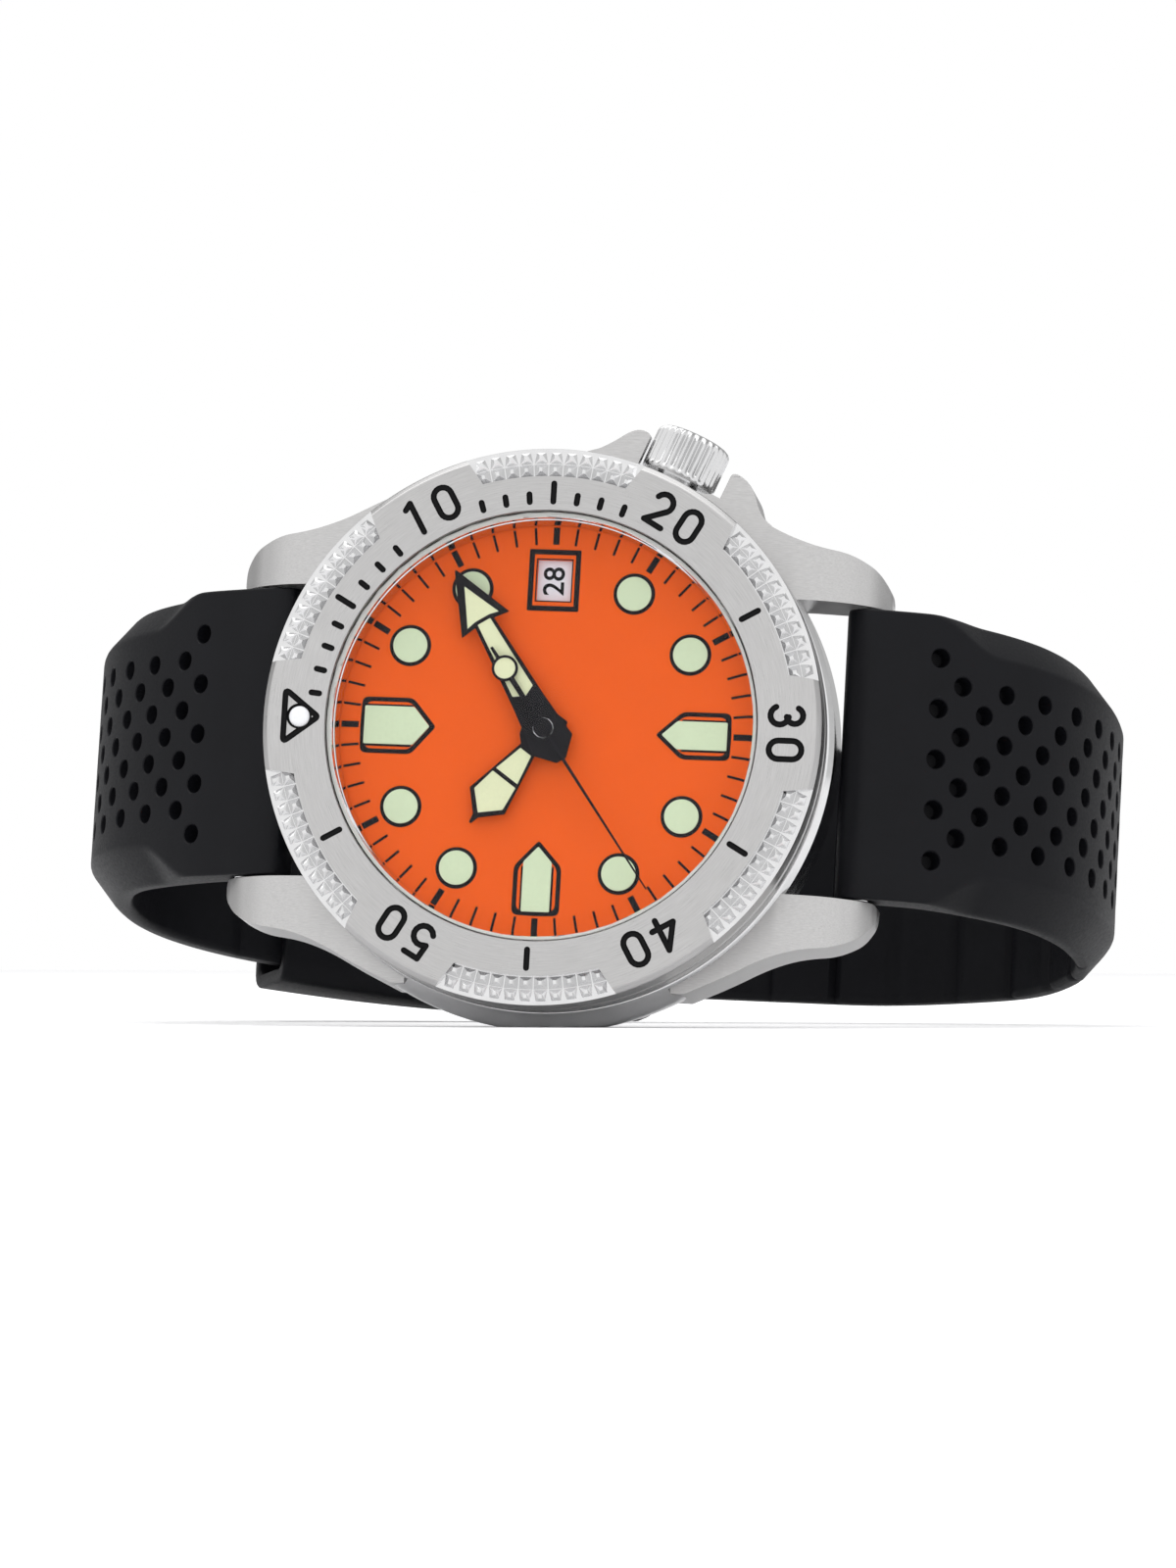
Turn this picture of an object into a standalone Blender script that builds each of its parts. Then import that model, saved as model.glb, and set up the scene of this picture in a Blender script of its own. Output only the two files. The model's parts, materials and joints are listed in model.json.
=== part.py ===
"""A self-winding dive watch on a rubber strap, as an assembly of separate pieces.

Every piece is drawn in millimetres in the watch's own axes: X runs from 12 to 6 o'clock,
Y from 9 to 3 o'clock and Z out of the dial, with Z = 0 on the dial's face. The root empty
scales millimetres to metres, tips the watch onto its 9 o'clock flank, and puts the origin
at the bottom centre of the whole object's box.
"""

import math

import bmesh
import bpy
from mathutils import Matrix, Vector

MM = 0.001

# ---- driving dimensions, millimetres -------------------------------------------------

LUG_GAP = 20.0  # between the lugs, a standard strap width
CASE_RADIUS = 19.65
STAND_TILT = math.radians(7.62)  # the dial looks this much above the horizon
STAND_ROLL = math.radians(2.06)  # the watch leans this much towards 6 o'clock
CASE_TOP = -2.45
CASE_BACK = -7.9
NECK_RADIUS = 15.6  # the bezel turns on this neck
NECK_TOP = 2.2
BORE_RADIUS = 14.45  # the case's bore for crystal, dial and movement
LUG_TIP = 22.3
SPRING_BAR_X = 20.9
SPRING_BAR_Z = -6.0
SPRING_BAR_RADIUS = 0.75

BEZEL_RADIUS = 18.8
BEZEL_INNER = 14.5
BEZEL_TOP = 2.75
BEZEL_UNDER = -2.2
GRIP_INNER = 16.85
GRIP_HALF = 16.6  # degrees, at the inner edge
GRIP_RIM_HALF = 19.2  # degrees, beyond the rim
GRIP_DEPTH = 0.4

CRYSTAL_RADIUS = 14.1
CRYSTAL_BOTTOM = 1.65
CRYSTAL_TOP = 2.95

DIAL_RADIUS = 14.38
DIAL_BACK = -0.4
DATE_WINDOW = (0.98, 8.84, 11.54)  # half width, lower and upper edge

HOUR_ANGLE = 305.5  # degrees clockwise from 12: ten past ten
MINUTE_ANGLE = 58.0
SECOND_ANGLE = 234.6

CROWN_ANGLE = math.radians(22.0)  # from 3 towards 6 o'clock
CROWN_Z = -4.3
CROWN_BASE = 19.55
CROWN_END = 22.7

PLATE_RADIUS = 13.5
PLATE_TOP = -1.15
PLATE_BOTTOM = -3.2
BACK_OUTER = -9.0

STRAP_REAR_HALF = 9.2  # half the strap's width at the rear of the loop
KEEPER_SLACK = 0.3
KEEPER_WALL = 1.0
KEEPER_ROOM = (-1.6, 4.35)  # the keeper's inner faces, from the middle of the buckle strap
BUCKLE_PIVOT = (-7.5, -2.85, -43.7)
BUCKLE_FAR_BAR = (1.4, -47.2)  # X and Z of the bar the tongue rests on

# the train: teeth, and the distance from the centre that each pair sets
CENTRE_TEETH, CENTRE_LEAVES = 80, 12
THIRD_TEETH, THIRD_LEAVES = 75, 10
FOURTH_TEETH, FOURTH_LEAVES = 84, 10
ESCAPE_TEETH, ESCAPE_LEAVES = 15, 7
BARREL_TEETH = 78
CANNON_LEAVES, MINUTE_TEETH, MINUTE_LEAVES, HOUR_TEETH = 12, 36, 10, 40
DATE_DRIVE_TEETH = 80
DATE_TEETH = 31
BARREL_DISTANCE = 6.923
THIRD_DISTANCE = 3.6
ESCAPE_DISTANCE = 3.575
MOTION_DISTANCE = 2.88
DATE_DRIVE_DISTANCE = 6.9

FINE, ROUND, SMALL = 48, 28, 12  # steps of a turn
JOIN = 1e-5  # merge distance, millimetres


def polar(radius, degrees):
    angle = math.radians(degrees)
    return radius * math.cos(angle), radius * math.sin(angle)


BARREL_AT = polar(BARREL_DISTANCE, 150)
THIRD_AT = polar(THIRD_DISTANCE, 0)
ESCAPE_AT = polar(ESCAPE_DISTANCE, -60)
PALLET_AT = polar(6.0, -60)
BALANCE_AT = polar(9.0, -60)
MOTION_AT = polar(MOTION_DISTANCE, -90)
DATE_DRIVE_AT = polar(DATE_DRIVE_DISTANCE, 150)

# ---- scene, collections and materials --------------------------------------------------

for old in list(bpy.data.objects):
    bpy.data.objects.remove(old, do_unlink=True)


def new_collection(name):
    collection = bpy.data.collections.new(name)
    bpy.context.scene.collection.children.link(collection)
    return collection


PARTS = new_collection("dive_watch")
CUTTERS = new_collection("cutters")


def empty(name, parent=None, location=(0, 0, 0), rotation=(0, 0, 0)):
    holder = bpy.data.objects.new(name, None)
    holder.location = location
    holder.rotation_euler = rotation
    holder.parent = parent
    PARTS.objects.link(holder)
    return holder


ROOT = empty("watch_axes")
ROOT.scale = (MM, MM, MM)

# colour, roughness, metallic
FINISHES = {
    "satin_steel": ((0.62, 0.61, 0.62), 0.32, 1.0),
    "polished_steel": ((0.75, 0.75, 0.76), 0.12, 1.0),
    "black_steel": ((0.03, 0.03, 0.035), 0.4, 0.5),
    "crystal": ((0.95, 0.97, 1.0), 0.02, 0.0),
    "orange_dial": ((0.89, 0.12, 0.01), 0.5, 0.0),
    "lume": ((0.62, 0.78, 0.45), 0.6, 0.0),
    "white_print": ((0.8, 0.8, 0.82), 0.5, 0.0),
    "black_rubber": ((0.02, 0.02, 0.024), 0.6, 0.0),
    "seal_rubber": ((0.05, 0.05, 0.05), 0.7, 0.0),
    "nylon": ((0.75, 0.74, 0.70), 0.5, 0.0),
    "brass": ((0.72, 0.52, 0.22), 0.3, 1.0),
    "rhodium": ((0.58, 0.58, 0.60), 0.28, 1.0),
    "blued_spring": ((0.08, 0.12, 0.35), 0.25, 1.0),
}


def finish(name):
    material = bpy.data.materials.get(name)
    if material:
        return material
    colour, roughness, metallic = FINISHES[name]
    material = bpy.data.materials.new(name)
    material.use_nodes = True
    shader = material.node_tree.nodes["Principled BSDF"]
    shader.inputs["Base Color"].default_value = (*colour, 1.0)
    shader.inputs["Roughness"].default_value = roughness
    shader.inputs["Metallic"].default_value = metallic
    material.diffuse_color = (*colour, 1.0)
    return material


def add_part(name, mesh, look, parent=None, location=(0, 0, 0), rotation=(0, 0, 0)):
    part = bpy.data.objects.new(name, mesh)
    part.data.materials.append(finish(look))
    part.parent = parent or ROOT
    part.location = location
    part.rotation_euler = rotation
    PARTS.objects.link(part)
    return part


def add_cutter(name, mesh, parent=None, location=(0, 0, 0), rotation=(0, 0, 0)):
    cutter = bpy.data.objects.new(name, mesh)
    cutter.parent = parent or ROOT
    cutter.location = location
    cutter.rotation_euler = rotation
    cutter.hide_render = True
    cutter.display_type = "WIRE"
    CUTTERS.objects.link(cutter)
    return cutter


def boolean(part, other, operation):
    step = part.modifiers.new(operation.lower() + "_" + other.name, "BOOLEAN")
    step.operation = operation
    step.solver = "EXACT"
    step.object = other


def cut(part, *others):
    for other in others:
        boolean(part, other, "DIFFERENCE")


def unite(part, *others):
    for other in others:
        boolean(part, other, "UNION")


# ---- meshes --------------------------------------------------------------------------------


def profile_mesh(name, profile, closed):
    """The half section of a turned piece: (radius, height) pairs down its outer side."""
    count = len(profile)
    edges = [(i, i + 1) for i in range(count - 1)]
    if closed:
        edges.append((count - 1, 0))
    mesh = bpy.data.meshes.new(name)
    mesh.from_pydata([(r, 0.0, z) for r, z in profile], edges, [])
    return mesh


def turn(part, steps):
    screw = part.modifiers.new("turn", "SCREW")
    screw.axis = "Z"
    screw.steps = steps
    screw.render_steps = steps
    screw.use_merge_vertices = True
    screw.merge_threshold = JOIN
    screw.use_smooth_shade = True
    return part


def turned(name, profile, look, steps=ROUND, parent=None, location=(0, 0, 0)):
    """A turned piece. A profile whose ends stand on the axis is open, any other is a ring."""
    ring = profile[0][0] > 0
    part = add_part(name, profile_mesh(name, profile, ring), look, parent, location)
    return turn(part, steps)


def turned_cutter(name, profile, steps=ROUND, parent=None, location=(0, 0, 0)):
    ring = profile[0][0] > 0
    cutter = add_cutter(name, profile_mesh(name, profile, ring), parent, location)
    return turn(cutter, steps)


def rod(radius, low, high):
    """The profile of a plain rod."""
    return [(0, high), (radius, high), (radius, low), (0, low)]


def sleeve(inner, outer, low, high):
    """The profile of a plain ring."""
    return [(inner, high), (outer, high), (outer, low), (inner, low)]


def slab_mesh(name, loops, low, high):
    """Flat outlines, the first with the others as holes, made into a closed solid."""
    curve = bpy.data.curves.new(name, "CURVE")
    curve.dimensions = "2D"
    curve.fill_mode = "BOTH"
    curve.extrude = (high - low) / 2
    for loop in loops:
        spline = curve.splines.new("POLY")
        spline.points.add(len(loop) - 1)
        for point, (x, y) in zip(spline.points, loop):
            point.co = (x, y, 0, 1)
        spline.use_cyclic_u = True
    holder = bpy.data.objects.new(name, curve)
    CUTTERS.objects.link(holder)
    depsgraph = bpy.context.evaluated_depsgraph_get()
    mesh = bpy.data.meshes.new_from_object(holder.evaluated_get(depsgraph))
    bpy.data.objects.remove(holder, do_unlink=True)
    bpy.data.curves.remove(curve)
    shell = bmesh.new()
    shell.from_mesh(mesh)
    bmesh.ops.remove_doubles(shell, verts=shell.verts, dist=JOIN)
    bmesh.ops.translate(shell, verts=shell.verts, vec=(0, 0, (high + low) / 2))
    bmesh.ops.recalc_face_normals(shell, faces=shell.faces)
    shell.to_mesh(mesh)
    shell.free()
    mesh.name = name
    return mesh


def slab(name, loops, low, high, look, parent=None, location=(0, 0, 0), rotation=(0, 0, 0)):
    return add_part(name, slab_mesh(name, loops, low, high), look, parent, location, rotation)


def slab_cutter(name, loops, low, high, parent=None, location=(0, 0, 0), rotation=(0, 0, 0)):
    return add_cutter(name, slab_mesh(name, loops, low, high), parent, location, rotation)


def circle(radius, at=(0, 0), count=SMALL):
    return [
        (at[0] + radius * math.cos(math.tau * i / count), at[1] + radius * math.sin(math.tau * i / count))
        for i in range(count)
    ]


def arc(radius, start, end, count, at=(0, 0)):
    """Points on a circle from start to end, in degrees, both included."""
    points = []
    for i in range(count + 1):
        x, y = polar(radius, start + (end - start) * i / count)
        points.append((at[0] + x, at[1] + y))
    return points


def rectangle(x0, y0, x1, y1):
    return [(x0, y0), (x1, y0), (x1, y1), (x0, y1)]


def gear_loop(teeth, pitch_radius, first_tooth=0.0, sharp=False, inward=False):
    """A toothed outline. first_tooth is the angle of a tooth's middle, in degrees."""
    pitch = math.tau / teeth
    height = pitch_radius * 2 / teeth
    tip = pitch_radius + (-0.8 if inward else 0.8) * height
    root = pitch_radius + (1.1 if inward else -1.1) * height
    corners = [(0.0, tip), (0.5, root)]
    if not sharp:
        corners = [(-0.24, root), (-0.09, tip), (0.09, tip), (0.24, root)]
    points = []
    for i in range(teeth):
        for share, radius in corners:
            angle = math.radians(first_tooth) + pitch * (i + share)
            points.append((radius * math.cos(angle), radius * math.sin(angle)))
    return points


def windows(inner, outer, spokes, spoke_width):
    """The openings between a wheel's spokes."""
    loops = []
    for i in range(spokes):
        start, end = 360 * i / spokes, 360 * (i + 1) / spokes
        trim_out = math.degrees(spoke_width / 2 / outer)
        trim_in = math.degrees(spoke_width / 2 / inner)
        outside = arc(outer, start + trim_out, end - trim_out, 3)
        inside = arc(inner, end - trim_in, start + trim_in, 2)
        loops.append(outside + inside)
    return loops


def loft_mesh(name, sections, hollow=None):
    """A solid through closed sections of equal length. hollow are the sections of its bore."""
    shell = bmesh.new()

    def skin(rings, flip):
        rows = [[shell.verts.new(point) for point in ring] for ring in rings]
        for near, far in zip(rows, rows[1:]):
            for i in range(len(near)):
                j = (i + 1) % len(near)
                face = [near[i], near[j], far[j], far[i]]
                shell.faces.new(face[::-1] if flip else face)
        return rows

    outside = skin(sections, False)
    if hollow:
        inside = skin(hollow, True)
        for end in (0, -1):
            for i in range(len(outside[end])):
                j = (i + 1) % len(outside[end])
                shell.faces.new([outside[end][i], outside[end][j], inside[end][j], inside[end][i]])
    else:
        shell.faces.new(outside[0])
        shell.faces.new(outside[-1])
    bmesh.ops.recalc_face_normals(shell, faces=shell.faces)
    mesh = bpy.data.meshes.new(name)
    shell.to_mesh(mesh)
    shell.free()
    return mesh


# ---- case ----------------------------------------------------------------------------------

CASE_PROFILE = [
    (BORE_RADIUS, NECK_TOP),
    (15.3, NECK_TOP),
    (NECK_RADIUS, 1.9),
    (NECK_RADIUS, 1.05),
    (15.1, 1.05),
    (15.1, 0.15),
    (NECK_RADIUS, 0.15),
    (NECK_RADIUS, CASE_TOP),
    (18.75, CASE_TOP),
    (19.3, -3.1),
    (CASE_RADIUS, -3.9),
    (CASE_RADIUS, -4.7),
    (19.1, -6.6),
    (18.8, -7.5),
    (18.5, CASE_BACK),
    (17.05, CASE_BACK),
    (17.05, -7.05),
    (16.1, -7.05),
    (16.1, -6.5),
    (15.1, -6.5),
    (15.1, -7.05),
    (BORE_RADIUS, -7.05),
]

# a lug seen from above, in the quarter between 3 and 6 o'clock
LUG_PLAN = [
    (14.2, 10.0),
    (17.6, 10.0),
    (22.0, 10.0),
    (LUG_TIP, 10.35),
    (22.1, 11.3),
    (21.4, 12.4),
    (20.4, 13.05),
    (19.2, 13.4),
    (17.4, 13.65),
    (15.7, 14.1),
    (14.2, 14.9),
    (12.6, 15.8),
    (10.5, 16.8),
    (9.5, 15.0),
]

# the same lug seen from the side: X and Z
LUG_SIDE = [
    (9.0, -2.62),
    (16.6, -2.62),
    (18.4, -2.95),
    (19.9, -3.7),
    (21.1, -4.7),
    (21.9, -5.8),
    (LUG_TIP + 0.05, -7.2),
    (22.1, -8.2),
    (21.4, -8.7),
    (19.6, -8.55),
    (16.6, -7.88),
    (9.0, -7.88),
]

GUARD_LOW = [(0.6, 18.6), (1.0, 19.62), (2.2, 19.95), (3.2, 20.5), (4.0, 21.05), (4.6, 21.3)]
GUARD_LOW += [(5.2, 21.25), (5.62, 20.95), (4.4, 17.9), (2.2, 17.4)]
GUARD_HIGH = [(11.3, 18.6), (12.0, 18.25), (12.55, 17.7), (12.95, 17.0), (13.15, 16.2)]
GUARD_HIGH += [(13.6, 15.4), (14.4, 14.75), (14.0, 13.2), (10.2, 13.9), (9.75, 14.9)]

crown_axis = empty("crown_axis", ROOT, (0, 0, CROWN_Z), (-math.pi / 2, 0, -CROWN_ANGLE))


def mirrored(points, x_sign, y_sign):
    return [(x * x_sign, y * y_sign) for x, y in points]


def make_lug(case, x_sign, y_sign):
    place = ("6" if x_sign > 0 else "12") + ("_crown_side" if y_sign > 0 else "_far_side")
    side = slab_cutter(
        "lug_side_" + place,
        [mirrored(LUG_SIDE, x_sign, 1)],
        -3.6,
        3.6,
        location=(0, y_sign * 13.4, 0),
        rotation=(math.pi / 2, 0, 0),
    )
    lug = slab_cutter("lug_" + place, [mirrored(LUG_PLAN, x_sign, y_sign)], -9.0, -2.0)
    boolean(lug, side, "INTERSECT")
    unite(case, lug)
    tip_hole = slab_cutter(
        "lug_hole_" + place,
        [circle(0.45, (x_sign * SPRING_BAR_X, SPRING_BAR_Z), 12)],
        -1.25,
        1.25,
        location=(0, y_sign * LUG_GAP / 2, 0),
        rotation=(math.pi / 2, 0, 0),
    )
    return tip_hole


def make_case():
    case = turned("case_middle", CASE_PROFILE, "satin_steel", FINE)
    for name, facing in (("strap_seat_6", 0), ("strap_seat_12", 180)):
        hollow = arc(19.12, -33, 33, 16) + [(24.0, 10.6), (24.0, -10.6)]
        cut(case, slab_cutter(name, [hollow], -9.0, -1.0, rotation=(0, 0, math.radians(facing))))
    holes = []
    for x_sign in (1, -1):
        for y_sign in (1, -1):
            holes.append(make_lug(case, x_sign, y_sign))
    unite(case, slab_cutter("guard_low", [GUARD_LOW], -7.3, -2.85))
    unite(case, slab_cutter("guard_high", [GUARD_HIGH], -7.3, -2.85))
    cut(case, *holes)
    cut(case, turned_cutter("click_groove", sleeve(16.0, 17.8, -2.75, -2.0), FINE))
    cut(case, turned_cutter("crown_pocket", rod(2.78, 19.3, 24.0), ROUND, crown_axis))
    cut(case, turned_cutter("tube_hole", rod(1.55, 13.5, 20.0), SMALL, crown_axis))
    return case


def make_case_back():
    """A screwed back with six key slots, its gasket under it."""
    profile = [
        (0, -7.4),
        (14.2, -7.4),
        (14.2, -7.15),
        (16.9, -7.15),
        (16.9, -8.1),
        (15.6, -8.3),
        (14.9, BACK_OUTER),
        (0, BACK_OUTER),
    ]
    back = turned("caseback", profile, "polished_steel", FINE)
    for i in range(6):
        slot = slab_cutter(
            "key_slot_%d" % i,
            [rectangle(13.6, -1.1, 15.4, 1.1)],
            BACK_OUTER - 0.2,
            BACK_OUTER + 0.5,
            rotation=(0, 0, math.radians(60 * i)),
        )
        cut(back, slot)
    turned("caseback_gasket", sleeve(15.2, 16.0, -7.1, -6.55), "seal_rubber")


def make_crown():
    """Crown, tube, gasket and stem, along the crown's own Z."""
    turned("crown_tube", sleeve(0.8, 1.5, 14.6, 20.9), "polished_steel", SMALL, crown_axis)
    turned("crown_gasket", sleeve(0.8, 1.45, 20.95, 21.15), "seal_rubber", SMALL, crown_axis)
    crown = slab("crown", [gear_loop(30, 2.38, 2.0, True)], CROWN_BASE, 23.0, "polished_steel", crown_axis)
    envelope = [(0, CROWN_END), (1.75, CROWN_END), (2.15, 22.58), (2.52, 22.15), (2.52, 19.0), (0, 19.0)]
    boolean(crown, turned_cutter("crown_envelope", envelope, 24, crown_axis), "INTERSECT")
    cavity = [(0, 21.9), (0.56, 21.9), (0.56, 21.2), (1.7, 21.2), (1.7, 19.0), (0, 19.0)]
    cut(crown, turned_cutter("crown_cavity", cavity, SMALL, crown_axis))
    stem = [(0, 21.85), (0.5, 21.85), (0.5, 15.2), (0.5, 9.3), (0.36, 9.3), (0.36, 8.9)]
    stem += [(0.5, 8.9), (0.5, 7.7), (0.2, 7.7), (0.2, 7.0), (0, 7.0)]
    turned("winding_stem", stem, "polished_steel", SMALL, crown_axis)


# ---- bezel, crystal, dial ------------------------------------------------------------------


def grip_pocket(i):
    """One of the sunk sectors that carry the knurling, open at the rim."""
    outside = arc(BEZEL_RADIUS + 0.4, GRIP_RIM_HALF, -GRIP_RIM_HALF, 10)
    inside = arc(GRIP_INNER, -GRIP_HALF, GRIP_HALF, 10)
    return slab_cutter(
        "grip_pocket_%d" % i,
        [outside + inside],
        BEZEL_TOP - GRIP_DEPTH,
        BEZEL_TOP + 1.0,
        rotation=(0, 0, math.radians(30 + 60 * i)),
    )


def make_bezel():
    profile = [
        (BEZEL_INNER, BEZEL_TOP),
        (18.35, BEZEL_TOP),
        (BEZEL_RADIUS, 2.35),
        (BEZEL_RADIUS, -1.2),
        (18.5, BEZEL_UNDER),
        (15.75, BEZEL_UNDER),
        (15.75, 2.28),
        (BEZEL_INNER, 2.28),
    ]
    bezel = turned("bezel", profile, "satin_steel", FINE)
    for i in range(6):
        cut(bezel, grip_pocket(i))
    pip_hole = turned_cutter("pip_hole", rod(0.75, 2.3, 3.2), SMALL, location=(-16.3, 0, 0))
    cut(bezel, pip_hole)
    pip = [(0, 2.85), (0.45, 2.83), (0.7, 2.72), (0.7, 2.34), (0, 2.34)]
    turned("bezel_pip", pip, "lume", SMALL, location=(-16.3, 0, 0))
    turned("bezel_gasket", sleeve(15.16, 15.68, 0.25, 0.95), "seal_rubber", FINE)
    spring = turned("bezel_click_spring", sleeve(16.3, 17.5, -2.7, -2.5), "polished_steel")
    for i in range(3):
        tab = slab_cutter(
            "click_tab_%d" % i,
            [rectangle(16.5, -1.2, 17.3, 1.2)],
            -2.6,
            -2.28,
            rotation=(0, 0, math.radians(120 * i + 15)),
        )
        unite(spring, tab)


def make_crystal():
    glass = [
        (0, CRYSTAL_TOP),
        (CRYSTAL_RADIUS - 0.35, CRYSTAL_TOP),
        (CRYSTAL_RADIUS, CRYSTAL_TOP - 0.35),
        (CRYSTAL_RADIUS, CRYSTAL_BOTTOM),
        (0, CRYSTAL_BOTTOM),
    ]
    turned("crystal", glass, "crystal", FINE)
    turned("crystal_gasket", sleeve(14.15, 14.4, 1.66, 2.15), "nylon", FINE)
    turned("rehaut_ring", sleeve(13.87, 14.4, 0.05, 1.6), "polished_steel", FINE)


def make_dial():
    half, low, high = DATE_WINDOW
    window = rectangle(-half, low, half, high)
    loops = [circle(DIAL_RADIUS, count=FINE), circle(1.3), window]
    slab("dial", loops, DIAL_BACK, 0.0, "orange_dial")
    teeth = gear_loop(DATE_TEETH, 8.3, first_tooth=4.0, inward=True)
    slab("date_disc", [circle(12.95, count=FINE), teeth], -0.62, -0.47, "white_print")


# ---- hands ---------------------------------------------------------------------------------


def both_sides(upper):
    """A hand's outline from its upper edge, tip to tail."""
    lower = [(x, -y) for x, y in reversed(upper) if y > 0]
    return upper + lower


def dial_angle(degrees):
    """The rotation about Z that points +X at an angle clockwise from 12."""
    return math.radians(180 - degrees)


def make_hands():
    hour = [(7.95, 0.1), (7.5, 0.22), (6.05, 1.45), (1.6, 0.5), (1.2, 1.05), (0, 1.55), (-1.3, 1.0)]
    slab(
        "hour_hand",
        [both_sides(hour), circle(1.08)],
        0.62,
        0.78,
        "black_steel",
        rotation=(0, 0, dial_angle(HOUR_ANGLE)),
    )
    minute = [(12.3, 0.05), (8.1, 1.95), (8.2, 0.7), (2.1, 1.08), (0, 1.3), (-1.1, 1.45), (-1.95, 0.05)]
    slab(
        "minute_hand",
        [both_sides(minute), circle(0.73)],
        0.95,
        1.11,
        "black_steel",
        rotation=(0, 0, dial_angle(MINUTE_ANGLE)),
    )
    disc_at = -4.8
    second = [(13.0, 0.06)] + arc(0.6, 12, 160, 6)
    second += arc(0.88, 14, 166, 8, (disc_at, 0))
    slab(
        "seconds_hand",
        [both_sides(second), circle(0.17, count=12)],
        1.28,
        1.38,
        "black_steel",
        rotation=(0, 0, dial_angle(SECOND_ANGLE)),
    )


# ---- movement ------------------------------------------------------------------------------


def arbor(part, name, at, profile):
    unite(part, turned_cutter(name, profile, 12, location=(at[0], at[1], 0)))


def wheel(name, teeth, pitch_radius, low, high, look, at=(0, 0), first=0.0, hub=0.6, spokes=4):
    """A spoked wheel whose hub is filled by the arbor that is joined to it."""
    rim = pitch_radius * (1 - 2.2 / teeth) - 0.35
    loops = [gear_loop(teeth, pitch_radius, first, sharp=teeth > 60)]
    loops += windows(hub, rim, spokes, 0.4)
    return slab(name, loops, low, high, look, location=(at[0], at[1], 0))


def pinion(part, name, leaves, pitch_radius, low, high, at=(0, 0), first=0.0):
    shape = slab_cutter(name, [gear_loop(leaves, pitch_radius, first)], low, high, location=(*at, 0))
    unite(part, shape)


def pair(distance, driver_teeth, follower_teeth):
    """Pitch radii of two meshing wheels."""
    module = distance / (driver_teeth + follower_teeth)
    return module * driver_teeth, module * follower_teeth


def gap_towards(angle, teeth):
    """The angle of a first tooth that leaves a gap between teeth at the given angle."""
    return angle + 180.0 / teeth


def make_plates():
    pivots = [BARREL_AT, THIRD_AT, ESCAPE_AT, PALLET_AT, BALANCE_AT]
    holes = [circle(0.46, count=12)] + [circle(0.18, at, 8) for at in pivots]
    plate = slab(
        "main_plate",
        [circle(PLATE_RADIUS, count=FINE)] + holes,
        PLATE_BOTTOM,
        PLATE_TOP,
        "rhodium",
    )
    unite(plate, turned_cutter("motion_post", rod(0.22, -1.4, -0.58), 12, location=(*MOTION_AT, 0)))
    unite(plate, turned_cutter("date_post", rod(0.3, -1.4, -0.6), 12, location=(*DATE_DRIVE_AT, 0)))
    ring = turned("movement_ring", sleeve(13.65, 14.35, -6.4, -0.45), "nylon", FINE)
    cut(ring, turned_cutter("stem_passage", rod(0.8, 12.0, 15.5), SMALL, crown_axis))


def posted(name, outline, holes, low, high, posts):
    """A bridge on posts that stand on the main plate."""
    bridge = slab(name, [outline] + holes, low, high, "rhodium")
    for i, at in enumerate(posts):
        profile = rod(0.65, low + 0.05, PLATE_BOTTOM - 0.02)
        unite(bridge, turned_cutter("%s_post_%d" % (name, i), profile, 12, location=(*at, 0)))
    return bridge


def make_bridges():
    outline = arc(13.3, 118, 182, 12) + [(-9.4, 0.6), (-6.0, 0.2), (-4.3, 1.2), (-3.1, 3.4), (-3.3, 8.2)]
    posted(
        "barrel_bridge",
        outline,
        [circle(0.75, BARREL_AT, 12)],
        -5.45,
        -4.95,
        [polar(12.4, 122), polar(12.4, 178)],
    )
    train = arc(4.0, 80, 262, 10) + [(2.6, -3.5), (4.6, -2.2), (9.0, -1.6), (11.0, 0.8), (9.6, 4.0)]
    posted(
        "train_bridge",
        train,
        [circle(0.2, count=8), circle(0.18, THIRD_AT, 8), circle(0.18, ESCAPE_AT, 8)],
        -6.3,
        -5.75,
        [(9.6, 1.4)],
    )
    pallet_x, pallet_y = PALLET_AT
    bar = rectangle(pallet_x - 3.6, pallet_y - 0.75, pallet_x + 0.8, pallet_y + 0.6)
    post = (pallet_x - 2.9, pallet_y - 0.05)
    posted("pallet_bridge", bar, [circle(0.16, PALLET_AT, 8)], -5.2, -4.8, [post])
    balance_x, balance_y = BALANCE_AT
    cock = [(balance_x - 0.9, balance_y + 0.8), (balance_x + 0.7, balance_y + 0.9), (9.6, -5.6)]
    cock += arc(13.2, -27, -42, 4) + [(balance_x - 0.4, balance_y - 1.0)]
    posted("balance_cock", cock, [circle(0.14, BALANCE_AT, 8)], -6.62, -6.3, [polar(12.0, -33)])


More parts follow.
